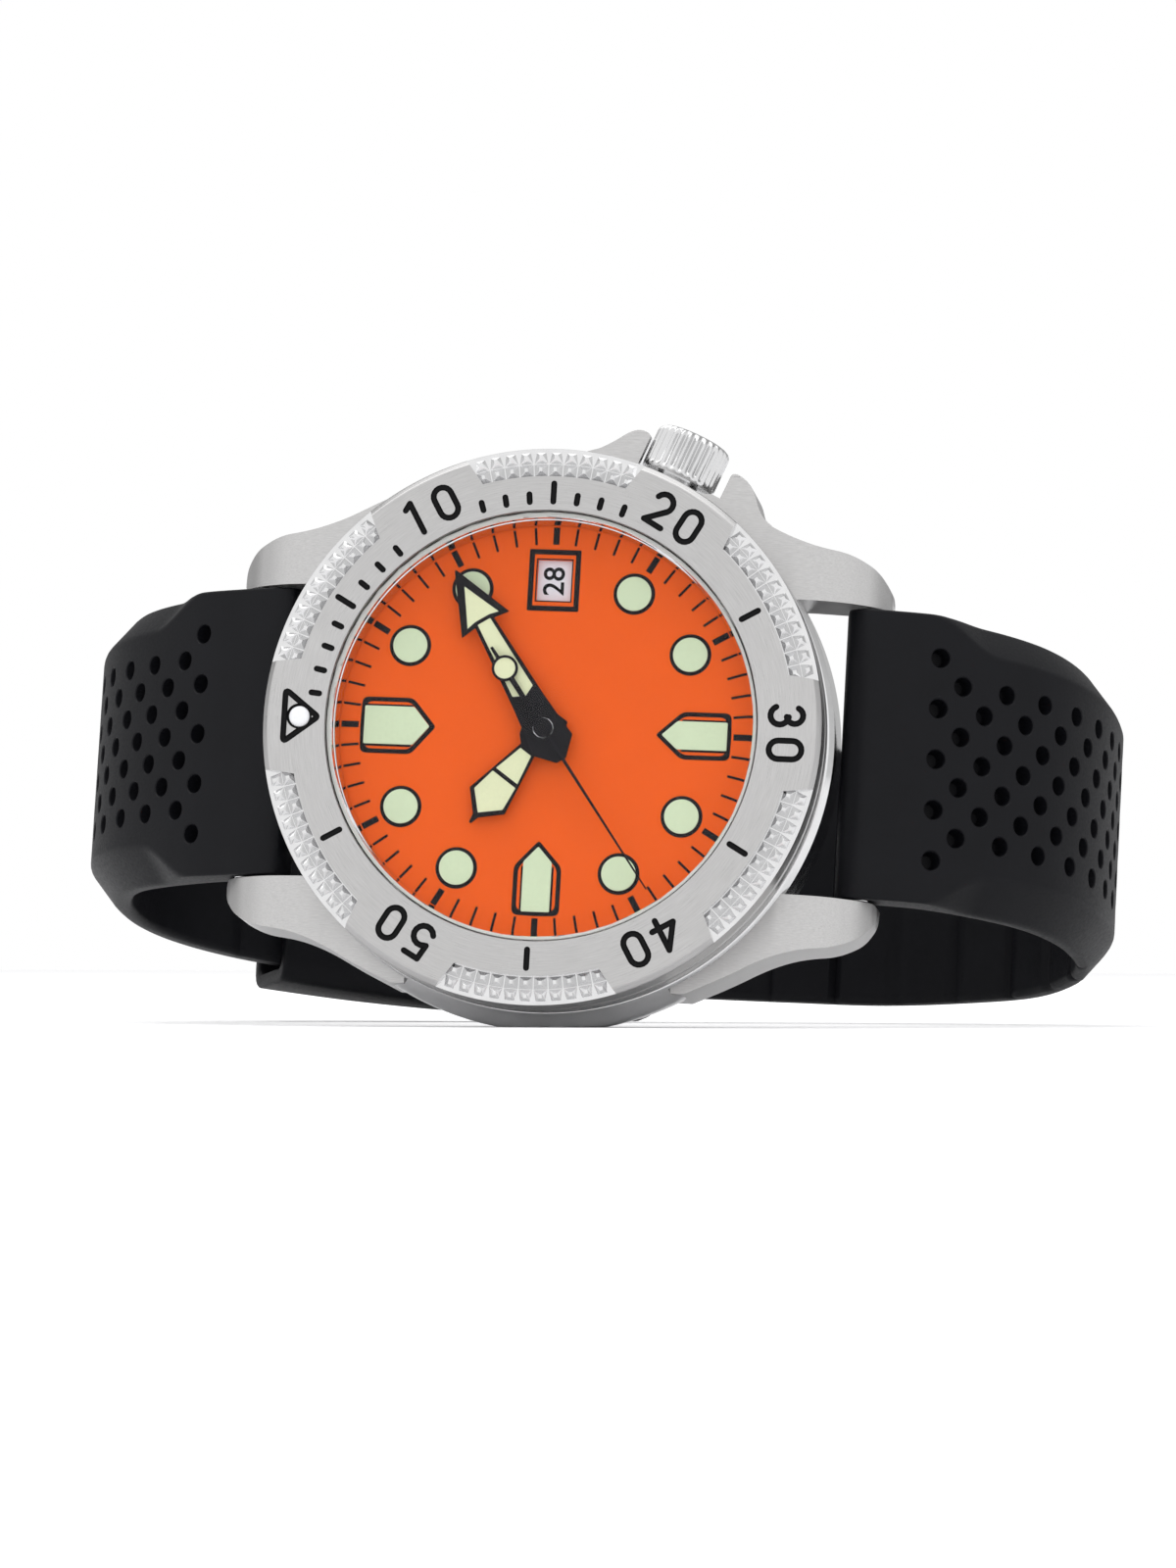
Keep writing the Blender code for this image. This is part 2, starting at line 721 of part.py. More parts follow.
def make_train():
    """Barrel, centre, third, fourth and escape wheels, each with its pinion and arbor."""
    barrel_pitch, centre_pinion = pair(BARREL_DISTANCE, BARREL_TEETH, CENTRE_LEAVES)
    centre_pitch, third_pinion = pair(THIRD_DISTANCE, CENTRE_TEETH, THIRD_LEAVES)
    third_pitch, fourth_pinion = pair(THIRD_DISTANCE, THIRD_TEETH, FOURTH_LEAVES)
    fourth_pitch, escape_pinion = pair(ESCAPE_DISTANCE, FOURTH_TEETH, ESCAPE_LEAVES)

    wall = [(0.55, -3.35), (5.6, -3.35), (5.6, -4.75), (5.3, -4.75), (5.3, -3.75), (0.55, -3.75)]
    barrel = turned("barrel", wall, "brass", ROUND, location=(*BARREL_AT, 0))
    teeth = [gear_loop(BARREL_TEETH, barrel_pitch, gap_towards(150 - 180, BARREL_TEETH), sharp=True)]
    teeth.append(circle(5.45, count=ROUND))
    unite(barrel, slab_cutter("barrel_teeth", teeth, -3.7, -3.5, location=(*BARREL_AT, 0)))
    turned("barrel_cover", sleeve(0.55, 5.25, -4.7, -4.55), "brass", ROUND, location=(*BARREL_AT, 0))
    shaft = [(0, -3.25), (0.15, -3.25), (0.15, -3.32), (0.5, -3.32), (0.5, -3.85), (0.95, -3.85)]
    shaft += [(0.95, -4.45), (0.5, -4.45), (0.5, -5.95), (0, -5.95)]
    turned("barrel_arbor", shaft, "polished_steel", SMALL, location=(*BARREL_AT, 0))
    make_mainspring()
    ratchet = [gear_loop(45, 2.5), circle(0.53, count=12)]
    slab("ratchet_wheel", ratchet, -5.85, -5.6, "polished_steel", location=(*BARREL_AT, 0))

    centre = wheel("centre_wheel", CENTRE_TEETH, centre_pitch, -5.0, -4.85, "brass")
    pinion(centre, "centre_pinion", CENTRE_LEAVES, centre_pinion, -4.88, -3.4, first=150)
    arbor(centre, "centre_tube", (0, 0), rod(0.4, -5.05, 0.2))
    cut(centre, turned_cutter("centre_bore", rod(0.2, -5.5, 0.5), 12))

    third_first = gap_towards(180, THIRD_TEETH)
    third = wheel("third_wheel", THIRD_TEETH, third_pitch, -5.3, -5.15, "brass", THIRD_AT, third_first)
    third_first = gap_towards(180, THIRD_LEAVES)
    pinion(third, "third_pinion", THIRD_LEAVES, third_pinion, -5.2, -4.75, THIRD_AT, third_first)
    arbor(third, "third_arbor", THIRD_AT, [(0, -2.9), (0.13, -2.9), (0.13, -6.1), (0, -6.1)])

    fourth_first = gap_towards(-60, FOURTH_TEETH)
    fourth = wheel("fourth_wheel", FOURTH_TEETH, fourth_pitch, -5.6, -5.45, "brass", first=fourth_first)
    pinion(fourth, "fourth_pinion", FOURTH_LEAVES, fourth_pinion, -5.5, -5.12)
    arbor(fourth, "seconds_arbor", (0, 0), rod(0.14, -6.1, 1.44))

    escape = make_escape_wheel()
    escape_first = -60 + 180
    pinion(escape, "escape_pinion", ESCAPE_LEAVES, escape_pinion, -5.65, -5.38, ESCAPE_AT, escape_first)
    arbor(escape, "escape_arbor", ESCAPE_AT, [(0, -2.9), (0.12, -2.9), (0.12, -6.1), (0, -6.1)])


def strip_spiral(inner, outer, turns, thickness, count):
    """The outline of a flat strip wound in a spiral."""
    near, far = [], []
    for i in range(count + 1):
        share = i / count
        angle = math.tau * turns * share
        radius = inner + (outer - inner) * share
        for side, offset in ((near, -thickness / 2), (far, thickness / 2)):
            reach = radius + offset
            side.append((reach * math.cos(angle), reach * math.sin(angle)))
    return near + far[::-1]


def make_mainspring():
    coil = strip_spiral(1.2, 4.9, 6, 0.22, 72)
    slab("mainspring", [coil], -4.4, -3.9, "blued_spring", location=(*BARREL_AT, 0))


def make_escape_wheel():
    """Fifteen hooked teeth on a light rim."""
    points = []
    for i in range(ESCAPE_TEETH):
        start = 360 * i / ESCAPE_TEETH
        points += [polar(1.55, start + 3), polar(1.98, start + 9), polar(1.93, start + 11)]
        points += [polar(1.55, start + 14)]
    loops = [points] + windows(0.45, 1.3, 4, 0.3)
    return slab("escape_wheel", loops, -4.35, -4.2, "polished_steel", location=(*ESCAPE_AT, 0))


def make_escapement():
    """Pallet fork, balance and hairspring on the line from the centre through the escape wheel."""
    towards = math.radians(-60)
    fork = [(-1.195, 1.72), (-0.95, 1.95), (-0.5, 1.6), (0.1, 0.5), (1.9, 0.12), (2.3, 0.45)]
    fork += [(2.6, 0.42), (2.35, 0.14)]
    lower = [(x, -y) for x, y in reversed(fork)]
    notch = arc(2.12, -48, 48, 6, (-2.425, 0))
    pallet = slab(
        "pallet_fork",
        [fork + lower + notch],
        -4.36,
        -4.2,
        "polished_steel",
        location=(*PALLET_AT, 0),
        rotation=(0, 0, towards),
    )
    staff = [(0, -2.9), (0.1, -2.9), (0.1, -5.1), (0, -5.1)]
    unite(pallet, turned_cutter("pallet_staff", staff, 12, location=(*PALLET_AT, 0)))

    rim = [circle(4.0, count=40)] + windows(0.6, 3.5, 3, 0.5)
    balance = slab("balance_wheel", rim, -5.95, -5.72, "brass", location=(*BALANCE_AT, 0))
    staff = [(0, -2.9), (0.09, -2.9), (0.09, -3.3), (0.25, -3.3), (0.25, -6.2), (0.09, -6.25)]
    staff += [(0.09, -6.55), (0, -6.55)]
    unite(balance, turned_cutter("balance_staff", staff, 12, location=(*BALANCE_AT, 0)))
    unite(balance, turned_cutter("balance_roller", rod(0.8, -5.65, -5.4), SMALL, location=(*BALANCE_AT, 0)))
    coil = strip_spiral(0.5, 2.1, 7, 0.06, 70)
    slab("hairspring", [coil], -6.22, -6.05, "blued_spring", location=(*BALANCE_AT, 0))


def make_motion_works():
    """Cannon pinion, minute wheel and hour wheel between the main plate and the dial."""
    cannon_pitch, minute_pitch = pair(MOTION_DISTANCE, CANNON_LEAVES, MINUTE_TEETH)
    minute_pinion, hour_pitch = pair(MOTION_DISTANCE, MINUTE_LEAVES, HOUR_TEETH)
    cannon = turned("cannon_pinion", sleeve(0.43, 0.7, -1.1, 1.18), "polished_steel", SMALL)
    leaves = [gear_loop(CANNON_LEAVES, cannon_pitch, -90), circle(0.55, count=12)]
    unite(cannon, slab_cutter("cannon_leaves", leaves, -1.08, -0.9))

    teeth = gear_loop(MINUTE_TEETH, minute_pitch, gap_towards(90, MINUTE_TEETH), True)
    outline = [teeth, circle(0.26, count=12)]
    minute = slab("minute_wheel", outline, -1.08, -0.93, "brass", location=(*MOTION_AT, 0))
    leaves = [gear_loop(MINUTE_LEAVES, minute_pinion, 90), circle(0.26, count=12)]
    unite(minute, slab_cutter("minute_pinion", leaves, -0.95, -0.64, location=(*MOTION_AT, 0)))

    outline = [gear_loop(HOUR_TEETH, hour_pitch, gap_towards(-90, HOUR_TEETH), True), circle(0.9)]
    hour = slab("hour_wheel", outline, -0.82, -0.66, "brass")
    unite(hour, turned_cutter("hour_tube", sleeve(0.78, 1.04, -0.8, 0.86), SMALL))


def make_date_works():
    """The wheel that drives the date ring, and the jumper that holds it."""
    drive_pitch = DATE_DRIVE_DISTANCE - MOTION_DISTANCE * HOUR_TEETH / (HOUR_TEETH + MINUTE_LEAVES)
    first = gap_towards(150 - 180, DATE_DRIVE_TEETH)
    drive = wheel(
        "date_driving_wheel",
        DATE_DRIVE_TEETH,
        drive_pitch,
        -0.82,
        -0.7,
        "brass",
        DATE_DRIVE_AT,
        first,
        hub=0.9,
    )
    cut(drive, turned_cutter("date_bore", rod(0.36, -1.0, 0.0), 12, location=(*DATE_DRIVE_AT, 0)))
    finger = [(0.3, -0.35), (1.55, -0.12), (1.6, 0.0), (1.55, 0.12), (0.3, 0.35)]
    finger = slab_cutter("date_finger", [finger], -0.72, -0.5, location=(*DATE_DRIVE_AT, 0))
    finger.rotation_euler = (0, 0, math.radians(20))
    unite(drive, finger)
    nose = polar(7.9, -42)
    tail = polar(6.2, -78)
    lever = [(nose[0], nose[1]), (nose[0] + 0.12, nose[1] + 0.3)]
    lever += arc(0.8, 80, 280, 10, tail) + [(nose[0] - 0.5, nose[1] - 0.5)]
    slab("date_jumper", [lever], -0.62, -0.47, "polished_steel")


def make_keyless_works():
    """Winding and sliding pinions on the stem, and the setting lever beside them."""
    for name, low, high, leaves in (("winding_pinion", 10.9, 12.0, 14), ("sliding_pinion", 9.4, 10.7, 14)):
        outline = [gear_loop(leaves, 0.95), circle(0.56, count=12)]
        slab(name, outline, low, high, "polished_steel", crown_axis)
    lever = [(-0.5, -0.6), (0.6, -0.7), (3.1, -0.25), (3.1, 0.25), (0.6, 0.7), (-0.5, 0.6)]
    along = (math.sin(CROWN_ANGLE), math.cos(CROWN_ANGLE))
    foot = (along[0] * 9.1 + along[1] * 3.2, along[1] * 9.1 - along[0] * 3.2)
    slab(
        "setting_lever",
        [lever],
        -5.35,
        -5.1,
        "polished_steel",
        location=(foot[0], foot[1], 0),
        rotation=(0, 0, math.pi - CROWN_ANGLE),
    )


def make_rotor():
    """The winding rotor: a heavy half rim on a thin web, on a ball-bearing hub."""
    web = arc(13.0, 180, 360, 20) + [(2.6, 0.0)] + arc(2.2, 20, 160, 8) + [(-2.6, 0.0)]
    rotor = slab("rotor", [web, circle(1.25)], -7.1, -6.95, "rhodium")
    rim = arc(13.0, 189, 351, 18) + arc(10.6, 351, 189, 14)
    unite(rotor, slab_cutter("rotor_rim", [rim], -7.25, -6.72))
    turned("rotor_bearing", sleeve(0.35, 1.18, -7.2, -6.4), "polished_steel", SMALL)
    screw = [(0, -6.4), (0.28, -6.4), (0.28, -7.22), (0.7, -7.22), (0.7, -7.34), (0, -7.34)]
    turned("rotor_screw", screw, "blued_spring", SMALL)


# ---- strap and buckle ----------------------------------------------------------------------

# the middle of each strap half's thickness, from the spring bar round the wrist
ROUTE_12 = [
    (-20.9, 0.0, -6.0),
    (-24.2, 0.0, -7.8),
    (-27.9, 0.0, -11.0),
    (-30.8, 0.0, -14.8),
    (-32.7, -0.1, -19.4),
    (-33.7, -0.4, -25.0),
    (-33.2, -0.9, -31.0),
    (-30.7, -1.4, -36.3),
    (-26.2, -1.9, -40.6),
    (-19.7, -2.4, -43.1),
    (-13.5, -2.75, -43.8),
    (-7.5, -2.85, -43.7),
]
ROUTE_6 = [
    (20.9, 0.0, -6.0),
    (25.2, 0.0, -7.6),
    (29.3, -0.2, -10.2),
    (32.8, -0.5, -13.9),
    (35.0, -0.9, -18.3),
    (36.0, -1.3, -23.5),
    (35.9, -1.7, -29.0),
    (34.0, -2.1, -34.5),
    (30.2, -2.5, -39.2),
    (25.0, -2.7, -42.4),
    (19.0, -2.9, -44.0),
    (12.5, -2.9, -44.3),
    (6.0, -2.9, -44.2),
    (1.5, -2.9, -44.6),
    (-3.0, -2.9, -45.6),
    (-7.5, -2.85, -46.5),
    (-12.5, -2.8, -46.7),
    (-17.0, -2.6, -46.5),
    (-20.3, -2.4, -45.9),
]


def smooth_route(points, per_span):
    """Points of a Catmull-Rom curve through the route."""
    rows = [Vector(point) for point in points]
    rows = [2 * rows[0] - rows[1]] + rows + [2 * rows[-1] - rows[-2]]
    result = []
    for i in range(1, len(rows) - 2):
        a, b, c, d = rows[i - 1 : i + 3]
        for k in range(per_span):
            t = k / per_span
            point = 0.5 * (2 * b + (c - a) * t + (2 * a - 5 * b + 4 * c - d) * t * t)
            point += 0.5 * (3 * b - a - 3 * c + d) * t**3
            result.append(point)
    result.append(rows[-2])
    return result


def stations(points, per_span=2):
    """(point, unit normal away from the wrist, distance along the strap) down a route."""
    line = smooth_route(points, per_span)
    middle = Vector((0, 0, -25.0))
    result = []
    distance = 0.0
    for i, point in enumerate(line):
        before = line[max(i - 1, 0)]
        after = line[min(i + 1, len(line) - 1)]
        along = after - before
        normal = Vector((along.z, 0, -along.x)).normalized()
        if normal.dot(point - middle) < 0:
            normal = -normal
        if i:
            distance += (point - before).length
        result.append((point, normal, distance))
    return result


def ease(value, low, high):
    share = min(max((value - low) / (high - low), 0.0), 1.0)
    return share * share * (3 - 2 * share)


def half_width(distance):
    """Half the strap's width: full between the lugs, narrower towards the buckle."""
    return 9.85 + (STRAP_REAR_HALF - 9.85) * ease(distance, 3.0, 45.0)


def strap_section(point, normal, half, thick, shoulder):
    """Eight corners of the strap, its outer edges cut back by the shoulder."""
    side = Vector((0, 1, 0))
    out, back = thick / 2, -thick / 2
    corners = [
        (-half, back + 0.35),
        (-half + 0.35, back),
        (half - 0.35, back),
        (half, back + 0.35),
        (half, out - 0.3 - 0.75 * shoulder),
        (half - 0.3 - 0.85 * shoulder, out),
        (-half + 0.3 + 0.85 * shoulder, out),
        (-half, out - 0.3 - 0.75 * shoulder),
    ]
    return [point + side * across + normal * away for across, away in corners]


def strap_sections(route, near_thick, far_thick, tail_from=None):
    """Sections down a strap half, rounded round the spring bar at its head."""
    rows = stations(route)
    end = rows[-1][2]
    sections = []
    head, normal, _ = rows[0]
    inward = (rows[0][0] - rows[1][0]).normalized()
    for back, share in ((1.6, 0.35), (1.25, 0.72), (0.7, 0.93)):
        sections.append(strap_section(head + inward * back, normal, half_width(0), near_thick * share, 0))
    for point, normal, distance in rows:
        thick = near_thick + (far_thick - near_thick) * ease(distance, 8.0, 42.0)
        shoulder = 2.0 * ease(distance, 6.0, 12.0) * (1 - 0.7 * ease(distance, 26.0, 44.0))
        half = half_width(distance)
        if tail_from:
            half -= 5.5 * ease(distance, end - tail_from, end + 1.0) ** 2
        sections.append(strap_section(point, normal, half, thick, shoulder))
    return sections


def bar_hole(name, x, y, z, radius, length):
    return slab_cutter(
        name,
        [circle(radius, (x, z), 16)],
        -length,
        length,
        location=(0, y, 0),
        rotation=(math.pi / 2, 0, 0),
    )


def spring_bar(name, x, y, z, half, radius):
    """A telescopic bar with a thin tip at each end, along Y."""
    profile = [(0, half + 0.9), (0.38, half + 0.9), (0.38, half), (radius, half - 0.02)]
    profile += [(radius, 0.02 - half), (0.38, -half), (0.38, -half - 0.9), (0, -half - 0.9)]
    bar = turned(name, profile, "polished_steel", 16, location=(x, y, z))
    bar.rotation_euler = (math.pi / 2, 0, 0)


def make_straps():
    pivot_x, pivot_y, pivot_z = BUCKLE_PIVOT
    mesh = loft_mesh("strap_12", strap_sections(ROUTE_12, 3.3, 2.7))
    buckle_strap = add_part("strap_12", mesh, "black_rubber")
    end = loft_mesh("strap_end", strap_end_sections())
    unite(buckle_strap, add_cutter("strap_end", end))
    cut(buckle_strap, bar_hole("bar_hole_12", -SPRING_BAR_X, 0, SPRING_BAR_Z, 0.82, 12))
    cut(buckle_strap, bar_hole("bar_hole_buckle", pivot_x, pivot_y, pivot_z, 0.78, 12))
    notch = rectangle(pivot_x - 2.8, pivot_y - 1.35, pivot_x + 3.0, pivot_y + 1.35)
    cut(buckle_strap, slab_cutter("tongue_notch", [notch], -46.5, -40.0))

    mesh = loft_mesh("strap_6", strap_sections(ROUTE_6, 3.3, 2.3, tail_from=14.0))
    tail_strap = add_part("strap_6", mesh, "black_rubber")
    cut(tail_strap, bar_hole("bar_hole_6", SPRING_BAR_X, 0, SPRING_BAR_Z, 0.82, 12))
    slot = rectangle(pivot_x - 2.3, pivot_y - 1.35, pivot_x + 6.4, pivot_y + 1.35)
    cut(tail_strap, slab_cutter("tongue_slot", [slot], -49.0, -43.0))
    spring_bar("spring_bar_12", -SPRING_BAR_X, 0, SPRING_BAR_Z, LUG_GAP / 2 - 0.1, SPRING_BAR_RADIUS)
    spring_bar("spring_bar_6", SPRING_BAR_X, 0, SPRING_BAR_Z, LUG_GAP / 2 - 0.1, SPRING_BAR_RADIUS)


def strap_end_sections():
    """The rounded end that wraps the buckle's bar."""
    pivot = Vector(BUCKLE_PIVOT)
    outward = Vector((0, 0, -1))
    sections = []
    for ahead, share in ((-1.0, 0.99), (0.3, 1.0), (0.95, 0.8), (1.35, 0.45)):
        point = pivot + Vector((ahead, 0, 0))
        sections.append(strap_section(point, outward, STRAP_REAR_HALF - 0.05, 2.75 * share, 0))
    return sections


def keeper_mesh(name, first, last, wall):
    """A loop of rubber round both strap halves, between two places along X."""
    rows = [row for row in stations(ROUTE_12, 12) if first <= row[0].x <= last and row[0].z < -30]
    side = Vector((0, 1, 0))
    half = STRAP_REAR_HALF + KEEPER_SLACK

    def loop(point, normal, extra):
        low, high = KEEPER_ROOM
        corners = [(-half - extra, low - extra), (half + extra, low - extra)]
        corners += [(half + extra, high + extra), (-half - extra, high + extra)]
        return [point + side * across + normal * away for across, away in corners]

    outside = [loop(point, normal, wall) for point, normal, _ in rows]
    inside = [loop(point, normal, 0) for point, normal, _ in rows]
    return loft_mesh(name, outside, inside)


def make_keepers():
    add_part("keeper_fixed", keeper_mesh("keeper_fixed", -25.4, -12.4, KEEPER_WALL), "black_rubber")
    add_part("keeper_free", keeper_mesh("keeper_free", -11.9, -9.8, KEEPER_WALL), "black_rubber")


def make_buckle():
    """The buckle frame and tongue, both on the spring bar in the end of the buckle strap."""
    pivot_x, pivot_y, pivot_z = BUCKLE_PIVOT
    far_x, far_z = BUCKLE_FAR_BAR
    slope = math.atan2(pivot_z - far_z, far_x - pivot_x)
    reach = math.hypot(far_x - pivot_x, far_z - pivot_z)
    # the buckle's own axes: X to the far bar, Y across the strap, Z towards the wrist
    axes = empty("buckle_axis", ROOT, BUCKLE_PIVOT, (0, slope, 0))
    inner, outer = STRAP_REAR_HALF + 0.35, STRAP_REAR_HALF + 1.45
    outline = [(-1.1, inner), (-1.1, outer), (reach + 0.2, outer), (reach + 0.9, outer - 0.9)]
    outline += [(reach + 0.9, -outer + 0.9), (reach + 0.2, -outer), (-1.1, -outer), (-1.1, -inner)]
    outline += [(reach - 1.0, -inner), (reach - 1.0, inner)]
    frame = slab("buckle_frame", [outline], -0.9, 0.9, "polished_steel", axes)
    tips = turned_cutter("buckle_tip_holes", rod(0.42, -inner - 0.85, inner + 0.85), 12, axes)
    tips.rotation_euler = (math.pi / 2, 0, 0)
    cut(frame, tips)
    spring_bar("buckle_spring_bar", pivot_x, pivot_y, pivot_z, inner - 0.05, 0.7)
    tongue = arc(1.3, 47, -280, 14)
    tongue += [(2.6, 1.9), (reach + 0.5, 1.9), (reach + 0.9, 1.35), (reach + 0.7, 0.95)]
    tongue = [(x, -z) for x, z in tongue]
    part = slab("buckle_tongue", [tongue, circle(0.8, count=16)], -1.05, 1.05, "polished_steel", axes)
    part.rotation_euler = (math.pi / 2, 0, 0)


# ---- assembly ------------------------------------------------------------------------------


def evaluated_points():
    """Every vertex of every part in the assembly, in world coordinates."""
    bpy.context.view_layer.update()
    depsgraph = bpy.context.evaluated_depsgraph_get()
    points = []
    for part in PARTS.objects:
        if part.type == "MESH":
            solid = part.evaluated_get(depsgraph)
            points += [part.matrix_world @ vertex.co for vertex in solid.data.vertices]
    return points


def make_stand_flat(case):
    """Cuts the narrow flat on the case's flank, level with the lowest corner of the buckle."""
    turn = Matrix.Rotation(STAND_TILT - math.pi / 2, 3, "X") @ Matrix.Rotation(-STAND_ROLL, 3, "Y")
    up = turn @ Vector((0, 0, 1))
    rear = [point for point in evaluated_points() if point.z < -30 * MM]
    ground = min(up.dot(point) for point in rear) / MM
    below = rectangle(-6.0, -4.0, 6.0, 10.0)
    cut(case, slab_cutter("stand_flat", [below], ground - 2.0, ground, rotation=turn.to_euler()))


def stand_on_flank():
    """Stands the watch on the flat of its flank and on its buckle, centred on the ground."""
    ROOT.rotation_euler = (math.pi / 2 - STAND_TILT, STAND_ROLL, 0)
    points = evaluated_points()
    low = [min(point[axis] for point in points) for axis in range(3)]
    high = [max(point[axis] for point in points) for axis in range(3)]
    ROOT.location = (-(low[0] + high[0]) / 2, -(low[1] + high[1]) / 2, -low[2])


def smooth_parts():
    for part in PARTS.objects:
        if part.type == "MESH":
            part.data.shade_smooth()
            part.data.set_sharp_from_angle(angle=math.radians(30))


case_middle = make_case()
make_case_back()
make_crown()
make_bezel()
make_crystal()
make_dial()
make_hands()
make_plates()
make_bridges()
make_train()
make_escapement()
make_motion_works()
make_date_works()
make_keyless_works()
make_rotor()
make_straps()
make_keepers()
make_buckle()
make_stand_flat(case_middle)
smooth_parts()
stand_on_flank()
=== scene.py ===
"""The looks of the dive watch: steel, lacquer, lume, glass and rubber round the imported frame.

Everything on the watch is drawn in millimetres in the watch's own axes: X from 12 to
6 o'clock, Y from 9 to 3 o'clock, Z out of the dial, with Z = 0 on the dial's face. The matrix
WATCH, read from the bezel's joint, carries those axes into the frame's metres.
"""

import json
import math

import bmesh
import bpy
from mathutils import Matrix, Vector


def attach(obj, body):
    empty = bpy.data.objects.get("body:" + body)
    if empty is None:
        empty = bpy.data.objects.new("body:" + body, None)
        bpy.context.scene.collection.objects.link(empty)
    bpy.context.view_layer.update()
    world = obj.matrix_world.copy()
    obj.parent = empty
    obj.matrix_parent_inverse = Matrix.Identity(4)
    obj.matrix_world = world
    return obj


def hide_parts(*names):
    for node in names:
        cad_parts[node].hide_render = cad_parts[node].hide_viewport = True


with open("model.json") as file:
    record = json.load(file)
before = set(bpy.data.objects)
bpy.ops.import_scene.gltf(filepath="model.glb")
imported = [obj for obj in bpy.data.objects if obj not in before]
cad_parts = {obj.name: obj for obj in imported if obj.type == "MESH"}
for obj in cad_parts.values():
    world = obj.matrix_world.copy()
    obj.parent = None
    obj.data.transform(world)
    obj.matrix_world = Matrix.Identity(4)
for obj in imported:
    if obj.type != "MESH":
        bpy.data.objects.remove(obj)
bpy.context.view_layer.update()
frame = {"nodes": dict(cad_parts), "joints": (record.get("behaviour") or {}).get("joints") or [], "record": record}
JOINTS = {joint["name"]: joint for joint in frame["joints"]}

MM = 0.001


def axes(origin, x_axis, z_axis):
    """A millimetre frame at origin whose Z and X lie along two directions at right angles."""
    z = Vector(z_axis).normalized()
    x = Vector(x_axis).normalized()
    turn = Matrix((x, z.cross(x), z)).transposed().to_4x4()
    return Matrix.Translation(origin) @ turn @ Matrix.Diagonal((MM, MM, MM, 1.0))


DIAL_AXIS = Vector(JOINTS["bezel_turn"]["axis"])
TWELVE_TO_SIX = Vector(JOINTS["buckle_frame_turn"]["axis"]).cross(DIAL_AXIS)
WATCH = axes(JOINTS["bezel_turn"]["pos_m"], TWELVE_TO_SIX, DIAL_AXIS)
CROWN_Z = -4.3
CROWN = axes(WATCH @ Vector((0, 0, CROWN_Z)), JOINTS["bezel_turn"]["axis"], JOINTS["crown_turn"]["axis"])

# ---- dimensions, millimetres, as in the frame ----------------------------------------------

CASE_RADIUS = 19.65
BEZEL_RADIUS = 18.8
BEZEL_INNER = 14.5
BEZEL_TOP = 2.75
GRIP_INNER = 16.85
GRIP_HALF = 16.6  # degrees, at the inner edge
GRIP_RIM_HALF = 18.6  # degrees, at the rim
GRIP_DEPTH = 0.4
CRYSTAL_RADIUS = 14.1
CRYSTAL_TOP = 2.95
DIAL_RADIUS = 14.38
LUG_GAP = 20.0
LUG_TIP = 22.3
SPRING_BAR = (20.9, -6.0)
BACK_OUTER = -9.0
HOUR_ANGLE = 305.5
MINUTE_ANGLE = 58.0
SECOND_ANGLE = 234.6
STRAP_REAR_HALF = 9.2
KEEPER_SLACK = 0.3
KEEPER_WALL = 1.0
KEEPER_ROOM = (-1.6, 4.35)  # the keeper's inner faces, from the middle of the buckle strap

TURN_STEPS = 240

# ---- node materials --------------------------------------------------------------------------


